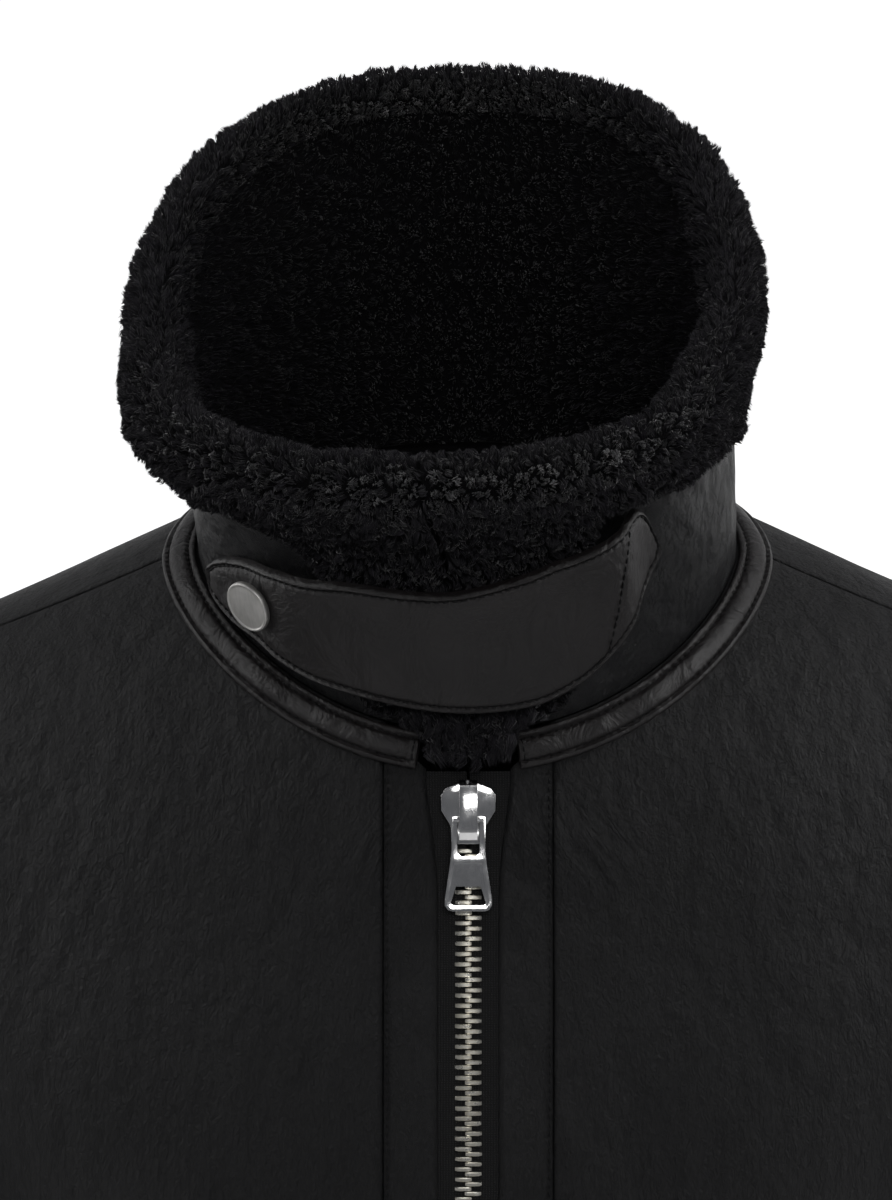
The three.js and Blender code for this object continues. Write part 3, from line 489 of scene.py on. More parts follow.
def collar_surface(station, height):
    station, height = np.broadcast_arrays(np.asarray(station, float), np.asarray(height, float))
    base = neck_seam(station) + np.array([0, 0, SEAM_GAP * 2])
    rim = vec(*(collar_column(name, station) for name in ("rimX", "rimY", "rimZ")))
    control = base + (rim - base) * np.array([FLARE_OUT, FLARE_OUT, FLARE_UP])
    return bezier(base, mix(base, control, 2 / 3), mix(rim, control, 2 / 3), rim, height)


def collar_normal(station, height):
    station, height = np.broadcast_arrays(np.asarray(station, float), np.asarray(height, float))
    at, up = np.clip(station, -1.99, 1.99), np.clip(height, 0.01, 0.99)
    towards = collar_surface(at, up)
    towards[..., 2] = 0
    return normal_of(collar_surface, at, up, towards, 0.01)


def collar_point(station, height, lift=0.0):
    return collar_surface(station, height) + scaled(collar_normal(station, height), lift)


def station_at_x(x):
    return float(solve(lambda station: neck_seam(station)[..., 0], np.array(float(x)), 0, 1))


NECK_GAP_STATION = station_at_x(BAND_END_X)


def throat_drop(station, height):
    beside = (np.abs(neck_seam(station)[..., 0]) - THROAT_HALF) / (BAND_END_X - 1 - THROAT_HALF)
    near = np.where(np.abs(station) < 1, 1 - smooth(beside), 0)
    drop = THROAT_DROP * near * np.maximum(0, 1 - height / THROAT_HEIGHT)
    return vec(0, -drop * THROAT_LEAN, -drop)


def strap_column(name, station):
    return along(STRAP[name], place_of(STRAP["station"], station))


def strap_point(station, share, lift):
    height = mix(strap_column("low", station), strap_column("high", station), share)
    return collar_point(station, height, strap_column("lift", station) + lift)


# Meshes

def make_object(name, vertices, faces, materials, slots=None, smooth_angle=40):
    """A mesh from millimetre points and faces of three or four corners, at its place in the frame."""
    mesh = bpy.data.meshes.new(name)
    flat = np.concatenate([np.asarray(f).ravel() for f in faces])
    sizes = np.concatenate([np.full(len(f), np.asarray(f).shape[1]) for f in faces])
    mesh.vertices.add(len(vertices))
    mesh.vertices.foreach_set("co", (np.asarray(vertices) * MM).astype(np.float32).ravel())
    mesh.loops.add(len(flat))
    mesh.loops.foreach_set("vertex_index", flat.astype(np.int32))
    mesh.polygons.add(len(sizes))
    mesh.polygons.foreach_set("loop_start", np.concatenate([[0], np.cumsum(sizes)[:-1]]).astype(np.int32))
    if slots is not None:
        mesh.polygons.foreach_set("material_index", np.asarray(slots, np.int32))
    mesh.polygons.foreach_set("use_smooth", np.ones(len(sizes), bool))
    mesh.update(calc_edges=True)
    if smooth_angle:
        mesh.set_sharp_from_angle(angle=math.radians(smooth_angle))
    for material in materials:
        mesh.materials.append(material)
    made = bpy.data.objects.new(name, mesh)
    bpy.context.scene.collection.objects.link(made)
    return made


def piece(made, body="coat", replaces=()):
    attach(made, body)
    if replaces:
        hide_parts(*replaces)
    return made


def signed_volume(points, quads):
    a, b, c, d = (points[quads[:, i]] for i in range(4))
    return (dot(a, np.cross(b, c)) + dot(a, np.cross(c, d))).sum()


def wall(name, outer, inner, materials, is_ring=False):
    """A closed sheet with an outer and an inner grid. Its second material is for the inner face."""
    rows, columns = outer.shape[:2]
    points = np.concatenate([outer.reshape(-1, 3), inner.reshape(-1, 3)])
    ids = np.arange(rows * columns).reshape(rows, columns)
    if is_ring:
        ids = np.concatenate([ids, ids[:, :1]], axis=1)
    low = ids + rows * columns

    def quads(grid):
        return np.stack([grid[:-1, :-1], grid[1:, :-1], grid[1:, 1:], grid[:-1, 1:]], -1).reshape(-1, 4)

    top, bottom = quads(ids), quads(low)[:, ::-1]

    def strip(a, b):
        return np.stack([a[:-1], a[1:], b[1:], b[:-1]], -1)

    rim = [strip(ids[0], low[0]), strip(low[-1], ids[-1])]
    if not is_ring:
        rim += [strip(low[:, 0], ids[:, 0]), strip(ids[:, -1], low[:, -1])]
    rim = np.concatenate(rim)
    faces = np.concatenate([top, bottom, rim])
    if signed_volume(points, faces) < 0:
        faces = faces[:, ::-1]
    inner_slot = min(1, len(materials) - 1)
    slots = np.concatenate([np.zeros(len(top)), np.full(len(bottom), inner_slot), np.zeros(len(rim))])
    return make_object(name, points, [faces], materials, slots)


def uneven_shares(count, edge_shares):
    """Shares from 0 to 1 with extra places close to both ends."""
    middle = np.linspace(edge_shares[-1], 1 - edge_shares[-1], count)
    start = np.array(edge_shares[:-1])
    return np.concatenate([start, middle, 1 - start[::-1]])


def border_distance(grid, sides="all"):
    """How far each point of a grid lies from its border, along the grid's own rows or columns."""
    steps_down = np.linalg.norm(np.diff(grid, axis=0), axis=-1)
    steps_across = np.linalg.norm(np.diff(grid, axis=1), axis=-1)
    down = np.concatenate([np.zeros((1, grid.shape[1])), np.cumsum(steps_down, axis=0)])
    across = np.concatenate([np.zeros((grid.shape[0], 1)), np.cumsum(steps_across, axis=1)], axis=1)
    found = {
        "top": down,
        "bottom": down[-1:] - down,
        "start": across,
        "end": across[:, -1:] - across,
    }
    wanted = found if sides == "all" else sides
    return np.minimum.reduce([found[side] for side in wanted])


def edge_roll(distance, radius=EDGE_ROUND):
    """The drop of a turned edge at a distance from it."""
    inside = np.clip(distance / radius, 0, 1)
    return -radius * (1 - np.sqrt(np.maximum(0, 1 - (1 - inside) ** 2)))


# Sewing

def spaced(path, shift):
    """Even places along a path, one a stitch, with the way ahead there: shift 0 is a hole, 0.5 a middle."""
    lengths = np.concatenate([[0], np.cumsum(np.linalg.norm(np.diff(path, axis=0), axis=1))])
    count = max(2, int(round(lengths[-1] / STITCH_PITCH)))
    places = (np.arange(count) + shift) * lengths[-1] / count

    def at(distance):
        return np.stack([np.interp(distance, lengths, path[:, k]) for k in range(3)], -1)

    ahead = at(np.minimum(places + 0.4, lengths[-1])) - at(np.maximum(places - 0.4, 0))
    return at(places), unit(ahead)


def drawn_in(grid, paths):
    """The dents that the thread pulls round its holes, as heights over a grid."""
    holes = np.concatenate([spaced(path, 0.0)[0] for path in paths])
    tree = kdtree.KDTree(len(holes))
    for i, hole in enumerate(holes):
        tree.insert(hole, i)
    tree.balance()
    away = np.array([tree.find(point)[2] for point in grid.reshape(-1, 3)])
    return -DENT_DEPTH * bell(away.reshape(grid.shape[:2]), DENT_SPREAD)


def stitches(name, lines, material):
    """Stitches along lines, each given as points and the directions out of the cloth there."""
    sides, rings = 5, np.array([-1, -0.6, 0.6, 1])
    fat = np.array([0.4, 1.0, 1.0, 0.4])
    sink = np.array([-1.0, 0.0, 0.0, -1.0])
    vertices, faces = [], []
    base = 0
    for path, outs in lines:
        middles, ahead = spaced(path, 0.5)
        lengths = np.linalg.norm(path[:, None] - middles[None], axis=-1)
        out = unit(outs[np.argmin(lengths, axis=0)])
        out = unit(out - scaled(ahead, dot(out, ahead)))
        aside = np.cross(ahead, out)
        jitter = rng.normal(0, 0.05, (len(middles), 1))
        ahead = unit(ahead + aside * jitter)
        for ring, width, low in zip(rings, fat, sink):
            centre = middles + ahead * (ring * STITCH_LENGTH / 2) + out * (low * STITCH_RADIUS)
            for k in range(sides):
                angle = 2 * math.pi * k / sides
                around = aside * math.cos(angle) + out * math.sin(angle)
                vertices.append((centre + around * (width * STITCH_RADIUS)))
        count = len(middles)
        ids = base + np.arange(len(rings) * sides * count).reshape(len(rings), sides, count)
        nxt = np.roll(ids, -1, axis=1)
        faces.append(np.stack([ids[:-1], ids[1:], nxt[1:], nxt[:-1]], -1).reshape(-1, 4))
        for end in (ids[0][::-1], ids[-1]):
            faces.append(np.stack([end[0], end[1], end[2], end[3]], -1).reshape(-1, 4))
            faces.append(np.stack([end[0], end[3], end[4]], -1).reshape(-1, 3))
        base += len(rings) * sides * count
    return make_object(name, np.concatenate(vertices), faces, [material], smooth_angle=None)


# Fur

def fur(name, grid, out, flow, weight, count, length, lock_size, curl, clump, width, material):
    """Narrow bent blades over a grid of points, drawn together into locks. Arrays run over the grid."""
    count = count
    a, b, c, d = grid[:-1, :-1], grid[1:, :-1], grid[1:, 1:], grid[:-1, 1:]
    area = np.linalg.norm(np.cross(c - a, d - b), axis=-1) / 2
    chance = area * weight[:-1, :-1]
    chance = chance.ravel() / chance.sum()

    def sample(number):
        cell = rng.choice(len(chance), number, p=chance)
        row, column = np.divmod(cell, grid.shape[1] - 1)
        f, g = rng.random(number), rng.random(number)

        def pick(values):
            v00, v10 = values[row, column], values[row + 1, column]
            v01, v11 = values[row, column + 1], values[row + 1, column + 1]
            f_, g_ = (f, g) if values.ndim == 2 else (f[:, None], g[:, None])
            return (v00 * (1 - f_) + v10 * f_) * (1 - g_) + (v01 * (1 - f_) + v11 * f_) * g_

        return pick

    total_area = (area * (weight[:-1, :-1] > 0)).sum()
    lock_count = max(8, int(total_area / lock_size**2))
    lock = sample(lock_count)
    lock_root, lock_out = lock(grid), unit(lock(out))
    lock_flow = lock(flow)
    lock_length = lock(length) * rng.uniform(0.75, 1.3, lock_count)
    swirl = unit(np.cross(lock_out, rng.normal(size=(lock_count, 3))))
    lock_lean = swirl * (lock(curl) * rng.uniform(0.2, 1, lock_count))[:, None]
    lock_way = unit(lock_out + lock_flow + lock_lean)
    lock_tip = lock_root + lock_way * lock_length[:, None]
    tree = kdtree.KDTree(lock_count)
    for i, point in enumerate(lock_root):
        tree.insert(point, i)
    tree.balance()
    blade = sample(count)
    root, blade_out = blade(grid), unit(blade(out))
    nearest = np.array([tree.find(point)[1] for point in root])
    own_length = lock_length[nearest] * rng.uniform(0.7, 1.12, count)
    loose = rng.normal(0, 0.22, (count, 3))
    own_way = unit(blade_out + lock_way[nearest] * 0.8 + loose)
    own_tip = root + own_way * own_length[:, None]
    pull = (clump * rng.uniform(0.6, 1.1, count))[:, None]
    tip = own_tip + (lock_tip[nearest] - own_tip) * pull
    bow = np.cross(blade_out, swirl[nearest]) * (own_length * blade(curl) * 0.28)[:, None]
    middle = (root + tip) / 2 + blade_out * (own_length * 0.16)[:, None] + bow
    aside = unit(np.cross(tip - root, blade_out + rng.normal(0, 0.5, (count, 3))))
    half = (width / 2 * rng.uniform(0.7, 1.25, count))[:, None]
    root = root - blade_out * 0.6
    vertices = np.stack([root, middle + aside * half, tip, middle - aside * half], axis=1).reshape(-1, 3)
    quads = np.arange(count * 4).reshape(count, 4)
    return make_object(name, vertices, [quads], [material], smooth_angle=None)


# Materials

# x, y, z, reach, turn in degrees
BODY_WRINKLES = [
    (42, -95, -68, 26, -55),
    (24, -92, -70, 16, -60),
    (-30, -95, -72, 20, 60),
    (-190, -70, -190, 60, 40),
    (190, -70, -190, 60, -40),
    (150, -90, -320, 70, 20),
    (-120, -100, -420, 80, -15),
]
STRAP_WRINKLES = [
    (10, -118, 8, 26, 8),
    (-38, -112, 2, 22, -14),
    (-70, -88, 6, 18, 30),
    (60, -60, -40, 20, -40),
]


class Shader:
    """A principled material whose nodes are added by short calls."""

    def __init__(self, name, **values):
        self.material = bpy.data.materials.new(name)
        self.material.use_nodes = True
        self.tree = self.material.node_tree
        self.surface = self.tree.nodes["Principled BSDF"]
        for key, value in values.items():
            self.surface.inputs[key.replace("_", " ")].default_value = value
        coordinates = self.node("ShaderNodeTexCoord")
        self.place = coordinates.outputs["Object"]

    def node(self, kind, inputs=None, **settings):
        made = self.tree.nodes.new(kind)
        for key, value in settings.items():
            setattr(made, key, value)
        for key, value in (inputs or {}).items():
            self.join(value, made.inputs[key])
        return made

    def join(self, value, socket):
        if isinstance(value, bpy.types.NodeSocket):
            self.tree.links.new(value, socket)
        else:
            socket.default_value = value

    def mapped(self, scale):
        return self.node("ShaderNodeMapping", {"Vector": self.place, "Scale": scale}).outputs["Vector"]

    def noise(self, scale, detail=4.0, roughness=0.55, stretch=(1, 1, 1), distortion=0.0):
        return self.node("ShaderNodeTexNoise", {
            "Vector": self.mapped(stretch), "Scale": scale, "Detail": detail,
            "Roughness": roughness, "Distortion": distortion,
        }).outputs["Fac"]

    def cells(self, scale, feature="DISTANCE_TO_EDGE", stretch=(1, 1, 1), wander=0.0):
        place = self.mapped(stretch)
        if wander:
            noise = self.node("ShaderNodeTexNoise", {"Vector": place, "Scale": scale * 0.6, "Detail": 3.0})
            place = self.node("ShaderNodeMixRGB", {
                "Fac": wander, "Color1": place, "Color2": noise.outputs["Color"],
            }, blend_type="LINEAR_LIGHT").outputs["Color"]
        return self.node("ShaderNodeTexVoronoi", {"Vector": place, "Scale": scale}, feature=feature).outputs[
            "Distance"]

    def ramp(self, fac, stops):
        made = self.node("ShaderNodeValToRGB", {"Fac": fac})
        ramp = made.color_ramp
        while len(ramp.elements) < len(stops):
            ramp.elements.new(0.5)
        for element, (position, colour) in zip(ramp.elements, stops):
            element.position = position
            element.color = (*colour, 1)
        return made.outputs["Color"]

    def span(self, value, low, high, to_low, to_high):
        return self.node("ShaderNodeMapRange", {
            "Value": value, "From Min": low, "From Max": high, "To Min": to_low, "To Max": to_high,
        }).outputs["Result"]

    def add(self, a, b, operation="ADD"):
        made = self.node("ShaderNodeMath", operation=operation)
        self.join(a, made.inputs[0])
        self.join(b, made.inputs[1])
        return made.outputs[0]

    def bump(self, height, strength, distance, after=None):
        inputs = {"Height": height, "Strength": strength, "Distance": distance}
        if after is not None:
            inputs["Normal"] = after
        return self.node("ShaderNodeBump", inputs).outputs["Normal"]

    def wrinkles(self, places, scale, strength, distance, after):
        """Fine parallel wrinkles round some places of the frame, each given with its reach and its turn."""
        for x, y, z, reach, turn in places:
            centre = self.node("ShaderNodeVectorMath", operation="DISTANCE")
            self.join(self.place, centre.inputs[0])
            self.join((x * MM, y * MM, z * MM), centre.inputs[1])
            near = self.span(centre.outputs["Value"], 0.0, reach * MM, 1.0, 0.0)
            turned = self.node("ShaderNodeMapping", {
                "Vector": self.place, "Rotation": (0, math.radians(turn), 0),
            }).outputs["Vector"]
            stretched = self.node("ShaderNodeMapping", {
                "Vector": turned, "Scale": (0.22, 0.5, 1),
            }).outputs["Vector"]
            lines = self.node("ShaderNodeTexNoise", {
                "Vector": stretched, "Scale": scale, "Detail": 3.0, "Distortion": 0.5,
            }).outputs["Fac"]
            after = self.bump(self.add(lines, near, "MULTIPLY"), strength, distance, after)
        return after

    def use(self, **sockets):
        for key, value in sockets.items():
            self.join(value, self.surface.inputs[key.replace("_", " ")])
        return self.material


def suede_hide():
    """The body: dark nappa with short upright wrinkles, cloudy, glossier in worn patches."""
    shader = Shader("body_hide", Specular_IOR_Level=0.24)
    cloud = shader.noise(9.0, 5.0, 0.6, (1, 1, 0.55))
    nap = shader.noise(560.0, 4.0, 0.65, (1, 1, 0.4), 0.8)
    grain = shader.cells(1150.0, "F1", (1, 1, 0.8), 0.25)
    tone = shader.add(shader.add(cloud, 0.6, "MULTIPLY"), shader.add(nap, 0.4, "MULTIPLY"))
    colour = shader.ramp(tone, [
        (0.3, (0.0045, 0.0045, 0.005)), (0.52, (0.0078, 0.0077, 0.0083)), (0.75, (0.0135, 0.0132, 0.014)),
    ])
    rough = shader.span(cloud, 0.35, 0.7, 0.6, 0.44)
    normal = shader.bump(grain, 0.6, 0.0006)
    normal = shader.bump(nap, 0.9, 0.0024, normal)
    normal = shader.bump(shader.noise(110.0, 3.0, 0.5, (1, 1, 0.5)), 0.7, 0.004, normal)
    normal = shader.wrinkles(BODY_WRINKLES, 210.0, 0.9, 0.005, normal)
    return shader.use(Base_Color=colour, Roughness=rough, Normal=normal)


def crackled_leather():
    """The collar's hide: shiny grain in uneven blisters with fine cracks."""
    shader = Shader("collar_leather", Specular_IOR_Level=0.4)
    cells = shader.cells(820.0, wander=0.3)
    large = shader.cells(330.0, wander=0.45)
    worn = shader.noise(60.0, 4.0)
    height = shader.add(
        shader.span(cells, 0.0, 0.12, 0.0, 0.6), shader.span(large, 0.0, 0.22, 0.0, 1.0))
    colour = shader.ramp(worn, [(0.35, (0.0042, 0.0042, 0.0052)), (0.7, (0.0092, 0.0091, 0.0108))])
    rough = shader.span(worn, 0.35, 0.7, 0.44, 0.3)
    normal = shader.bump(height, 1.0, 0.0012)
    normal = shader.bump(shader.noise(110.0, 4.0), 0.8, 0.006, normal)
    return shader.use(Base_Color=colour, Roughness=rough, Normal=normal)


def smooth_leather():
    """The strap and the neck band: smooth brownish black, fine pores, soft wrinkles."""
    shader = Shader("smooth_leather", Specular_IOR_Level=0.36)
    cloud = shader.noise(30.0, 4.0, 0.6)
    pores = shader.cells(1500.0, "F1", wander=0.1)
    colour = shader.ramp(cloud, [(0.3, (0.0052, 0.0042, 0.0044)), (0.7, (0.0088, 0.0071, 0.0073))])
    rough = shader.span(cloud, 0.3, 0.7, 0.44, 0.34)
    normal = shader.bump(pores, 0.3, 0.0004)
    normal = shader.bump(shader.noise(75.0, 4.0, 0.6, (1, 1, 0.6), 0.6), 0.6, 0.004, normal)
    normal = shader.wrinkles(STRAP_WRINKLES, 420.0, 0.9, 0.0026, normal)
    return shader.use(Base_Color=colour, Roughness=rough, Normal=normal)


def wool_fibre(name, light, gloss):
    """The fibres of the shearling, each a little lighter or darker than the next. A light below 1 darkens
    every colour as painted shade.
    """
    shader = Shader(name, Specular_IOR_Level=gloss, Sheen_Weight=light * 0.16, Sheen_Roughness=0.45)
    island = shader.node("ShaderNodeNewGeometry").outputs["Random Per Island"]
    patch = shader.noise(90.0, 3.0)
    tone = shader.add(shader.add(island, 0.5, "MULTIPLY"), shader.add(patch, 0.5, "MULTIPLY"))
    colour = shader.ramp(tone, [
        (place, tuple(light * value for value in tint))
        for place, tint in ((0.2, (0.0034, 0.0031, 0.0041)), (0.55, (0.0085, 0.0077, 0.01)),
                            (0.85, (0.019, 0.0172, 0.0222)))
    ])
    rough = shader.span(patch, 0.3, 0.7, 0.7, 0.55)
    return shader.use(Base_Color=colour, Roughness=rough)


def wool_ground():
    """The dense wool under the locks, and the clipped wool inside the coat."""
    shader = Shader("wool_ground", Specular_IOR_Level=0.08)
    curl = shader.cells(330.0, "F1", wander=0.4)
    fine = shader.noise(1300.0, 3.0, 0.7)
    colour = shader.ramp(curl, [(0.0, (0.0075, 0.007, 0.0086)), (0.7, (0.0026, 0.0024, 0.003))])
    normal = shader.bump(curl, 0.8, 0.0016)
    normal = shader.bump(fine, 0.7, 0.0007, normal)
    return shader.use(Base_Color=colour, Roughness=shader.span(fine, 0.3, 0.7, 0.75, 0.95), Normal=normal)


def sewing_thread():
    shader = Shader("sewing_thread", Specular_IOR_Level=0.15)
    twist = shader.noise(1800.0, 2.0)
    colour = shader.ramp(twist, [(0.3, (0.002, 0.002, 0.0022)), (0.7, (0.006, 0.0058, 0.0063))])
    return shader.use(Base_Color=colour, Roughness=shader.span(twist, 0.3, 0.7, 0.5, 0.65))


def woven_tape():
    """The zip's tape: a close weave with raised upright ribs, with painted shade in the weave's hollows and
    painted highlight on its raised ribs.
    """
    shader = Shader("zip_tape_weave", Specular_IOR_Level=0.25)
    ribs = shader.node("ShaderNodeTexWave", {
        "Vector": shader.mapped((1, 1, 1)), "Scale": 330.0, "Distortion": 0.6,
    }, bands_direction="X").outputs["Fac"]
    rows = shader.node("ShaderNodeTexWave", {
        "Vector": shader.mapped((1, 1, 1)), "Scale": 420.0, "Distortion": 0.8,
    }, bands_direction="Z").outputs["Fac"]
    weave = shader.add(ribs, rows, "MULTIPLY")
    # The colour follows the weave's height: painted shade where the weave is low, painted highlight where it
    # is high.
    colour = shader.ramp(weave, [(0.1, (0.004, 0.004, 0.0042)), (0.8, (0.019, 0.0188, 0.0195))])
    normal = shader.bump(weave, 0.7, 0.0005)
    return shader.use(Base_Color=colour, Roughness=shader.span(weave, 0, 1, 0.85, 0.65), Normal=normal)


def polished_nickel():
    """The slider and the pull: polished, with small scratches and a dulled film."""
    shader = Shader("polished_nickel", Metallic=1.0)
    film = shader.noise(160.0, 4.0)
    scratch = shader.noise(900.0, 3.0, 0.6, (1, 1, 0.08))
    colour = shader.ramp(film, [(0.3, (0.74, 0.735, 0.73)), (0.7, (0.88, 0.875, 0.87))])
    rough = shader.span(shader.add(film, scratch, "MULTIPLY"), 0.1, 0.5, 0.1, 0.22)
    return shader.use(Base_Color=colour, Roughness=rough, Normal=shader.bump(scratch, 0.03, 0.0002))


def antique_teeth():
    """The teeth and the end box: antique silver, warm, lighter and darker in small uneven patches."""
    shader = Shader("antique_silver", Metallic=1.0)
    film = shader.noise(420.0, 4.0, 0.6)
    colour = shader.ramp(film, [(0.3, (0.62, 0.58, 0.49)), (0.65, (0.96, 0.93, 0.84))])
    rough = shader.span(film, 0.3, 0.7, 0.4, 0.24)
    return shader.use(Base_Color=colour, Roughness=rough, Normal=shader.bump(film, 0.08, 0.0002))


def brushed_cap():
    """The snap's cap: brushed grey metal with small marks."""
    shader = Shader("brushed_snap", Metallic=1.0)
    brush = shader.noise(700.0, 4.0, 0.65, (1, 1, 0.12))
    cloud = shader.noise(150.0, 3.0)
    tone = shader.add(shader.add(brush, 0.5, "MULTIPLY"), shader.add(cloud, 0.5, "MULTIPLY"))
    colour = shader.ramp(tone, [(0.35, (0.4, 0.392, 0.376)), (0.65, (0.56, 0.55, 0.53))])
    rough = shader.span(brush, 0.3, 0.7, 0.56, 0.46)
    return shader.use(Base_Color=colour, Roughness=rough, Normal=shader.bump(brush, 0.06, 0.0002))


BODY_HIDE = suede_hide()
COLLAR_LEATHER = crackled_leather()
SMOOTH_LEATHER = smooth_leather()
WOOL = wool_fibre("wool_fibre", 1.0, 0.14)
# The wool inside the collar: the same fibre painted darker, at 0.6 of its colour, as painted shade; its
# sheen and gloss are lower too.
DARKENED_INSIDE_WOOL = wool_fibre("inside_wool_painted_shade", 0.6, 0.04)
WOOL_GROUND = wool_ground()
THREAD = sewing_thread()
TAPE = woven_tape()
NICKEL = polished_nickel()
TEETH = antique_teeth()
CAP_METAL = brushed_cap()


# Body panels

EDGE_SHARES = [0, 0.0016, 0.004, 0.0075, 0.012, 0.02]
HIDE_ROWS = np.unique(np.concatenate([
    np.linspace(0, TIP, 20),
    np.linspace(TIP, PIT, 30),
    np.linspace(PIT, HEM, 46),
]))
sewing = {"body": [], "trim": []}


def panel(name, rows, s_from, s_to, columns, replaces, seam_starts=False):
    """A body panel as a thin hide and a layer of clipped wool, from one edge across to the other."""
    shares = uneven_shares(columns, EDGE_SHARES)
    v = HIDE_ROWS[:, None]
    s = mix(s_from(HIDE_ROWS)[:, None], s_to(HIDE_ROWS)[:, None], shares[None, :])
    v = v + 0 * s
    flat = body_point(rows, s, v)
    sides = ["start", "end"]
    roll = edge_roll(border_distance(flat, sides), SEAM_ROUND)
    unevenness = 0.35 * lumps(flat, 34, 3) * smooth(border_distance(flat) / 30)
    outer = body_point(rows, s, v, roll + unevenness)
    skin = body_point(rows, s, v, roll - PANEL_HIDE)
    hide = wall(name, outer, skin, [BODY_HIDE])
    piece(hide, replaces=replaces)
    every = 3
    thin_rows = np.unique(np.append(np.arange(0, len(HIDE_ROWS), every), len(HIDE_ROWS) - 1))
    thin_columns = np.unique(np.append(np.arange(0, len(shares), 2), len(shares) - 1))
    ws, wv = s[np.ix_(thin_rows, thin_columns)], v[np.ix_(thin_rows, thin_columns)]
    base = body_point(rows, ws, wv)
    lump = 0.7 * lumps(base, 6, 5)
    wool = wall(f"{name}_wool", body_point(rows, ws, wv, -PANEL_HIDE - 0.2), body_point(
        rows, ws, wv, -COAT_WALL + lump), [WOOL_GROUND])
    piece(wool)
    return hide


def constant(value):
    return lambda v: np.full(np.shape(v), float(value))


def body_panels():
    for name, side in (("left", 1), ("right", -1)):
        placket = s_at_x(side, HIDE_ROWS, PLACKET_X + 0.08)
        panel(f"front_{name}_hide", FRONT, lambda v, p=placket: p, constant(side * 0.9985), 44,
              [f"front_{name}"])
    panel("back_hide", BACK, constant(-0.9985), constant(0.9985), 72,
          ["back"])


def front_strips():
    """The strips beside the zip, with a turned edge along it and a row of stitches beside the seam."""
    start_v = float(v_at_distance(FRONT, np.array(0.0), np.array(ZIP_START)))
    shares = uneven_shares(8, [0, 0.02, 0.05, 0.09, 0.14])
    rows = np.interp(
        np.concatenate([np.linspace(0, SEEN_LENGTH, 180), np.linspace(SEEN_LENGTH, ZIP_LENGTH, 60)[1:]]),
        LINE_DISTANCE, LINE_V)
    for name, side in (("left", 1), ("right", -1)):
        inner_v = mix(start_v, HEM, rows / HEM)
        distance = np.interp(inner_v, LINE_V, LINE_DISTANCE)
        s_inner = s_at_x(side, inner_v, zip_edge(distance))
        s_outer = s_at_x(side, rows, PLACKET_X - 0.04)
        s = mix(s_inner[:, None], s_outer[:, None], shares[None, :])
        v = mix(inner_v[:, None], rows[:, None], shares[None, :])
        flat = body_point(FRONT, s, v)
        from_zip, from_seam = border_distance(flat, ["start"]), border_distance(flat, ["end"])
        height = edge_roll(from_zip, 2.2) + edge_roll(from_seam, SEAM_ROUND)
        height = height - 0.4 * bell(from_seam - SEAM_INSET, 0.8)
        height = height + 0.25 * lumps(flat, 22, 8)
        outer = body_point(FRONT, s, v, height)
        inner = body_point(FRONT, s, v, np.minimum(height - 0.9, -PANEL_HIDE - 0.5))
        hide = wall(f"front_strip_{name}_hide", outer, inner, [BODY_HIDE])
        piece(hide, replaces=[f"front_strip_{name}"])
        s, v = s[::5, ::3], v[::5, ::3]
        wool_base = [body_point(FRONT, s, v, -PANEL_HIDE - 0.8), body_point(FRONT, s, v, -COAT_WALL)]
        piece(wall(f"front_strip_{name}_wool", *wool_base, [WOOL_GROUND]))
        line_v = rows[rows > v_at_distance(FRONT, s_at_x(side, np.array(0.5), PLACKET_X), BAND_WIDTH)]
        line_s = s_at_x(side, line_v, PLACKET_X - SEAM_INSET)
        sewing["body"].append((body_point(FRONT, line_s, line_v, -0.1), body_normal(FRONT, line_s, line_v)))


def sleeves():
    rows = np.linspace(0.004, CUFF, 112)
    for name, arm in (("left", 1), ("right", -1)):
        for part, start, end, columns, cut in (
            ("upper", -UPPER_SEAM_STEP, UPPER_SEAM_STEP, 40, {"flat": (0.29, 0.63), "area": 0.135}),
            ("under", UPPER_SEAM_STEP, 2 * ARM_STEPS - UPPER_SEAM_STEP, 32,
             {"flat": (0.21, 0.55), "area": 0.092}),
        ):
            shares = uneven_shares(columns, [0, 0.003, 0.008, 0.014, 0.022])
            step = mix(start + 0.006, end - 0.006, shares)[None, :]
            step = np.where(step > ARM_STEPS, step - 2 * ARM_STEPS, step)
            flat = sleeve_point(arm, rows[:, None], step)
            drop = -edge_roll(border_distance(flat, ["start", "end"])) - 0.8 * edge_roll(
                border_distance(flat, ["top"]), 2.5)
            drop = drop - 0.4 * lumps(flat, 30, 12)
            outer = sleeve_point(arm, rows[:, None], step, drop)
            skin = sleeve_point(arm, rows[:, None], step, drop + PANEL_HIDE)
            hide = wall(f"{part}_sleeve_{name}_hide", outer, skin, [BODY_HIDE])
            piece(hide, replaces=[f"{part}_sleeve_{name}"])
            thin_rows, thin_steps = rows[::3][:, None], step[:, ::2]
            base = sleeve_point(arm, thin_rows, thin_steps)
            wool = wall(
                f"{part}_sleeve_{name}_wool",
                sleeve_point(arm, thin_rows, thin_steps, PANEL_HIDE + 0.5),
                sleeve_point(arm, thin_rows, thin_steps, COAT_WALL - 0.6 * lumps(base, 6, 6)),
                [WOOL_GROUND],
            )
            piece(wool)


# Collar

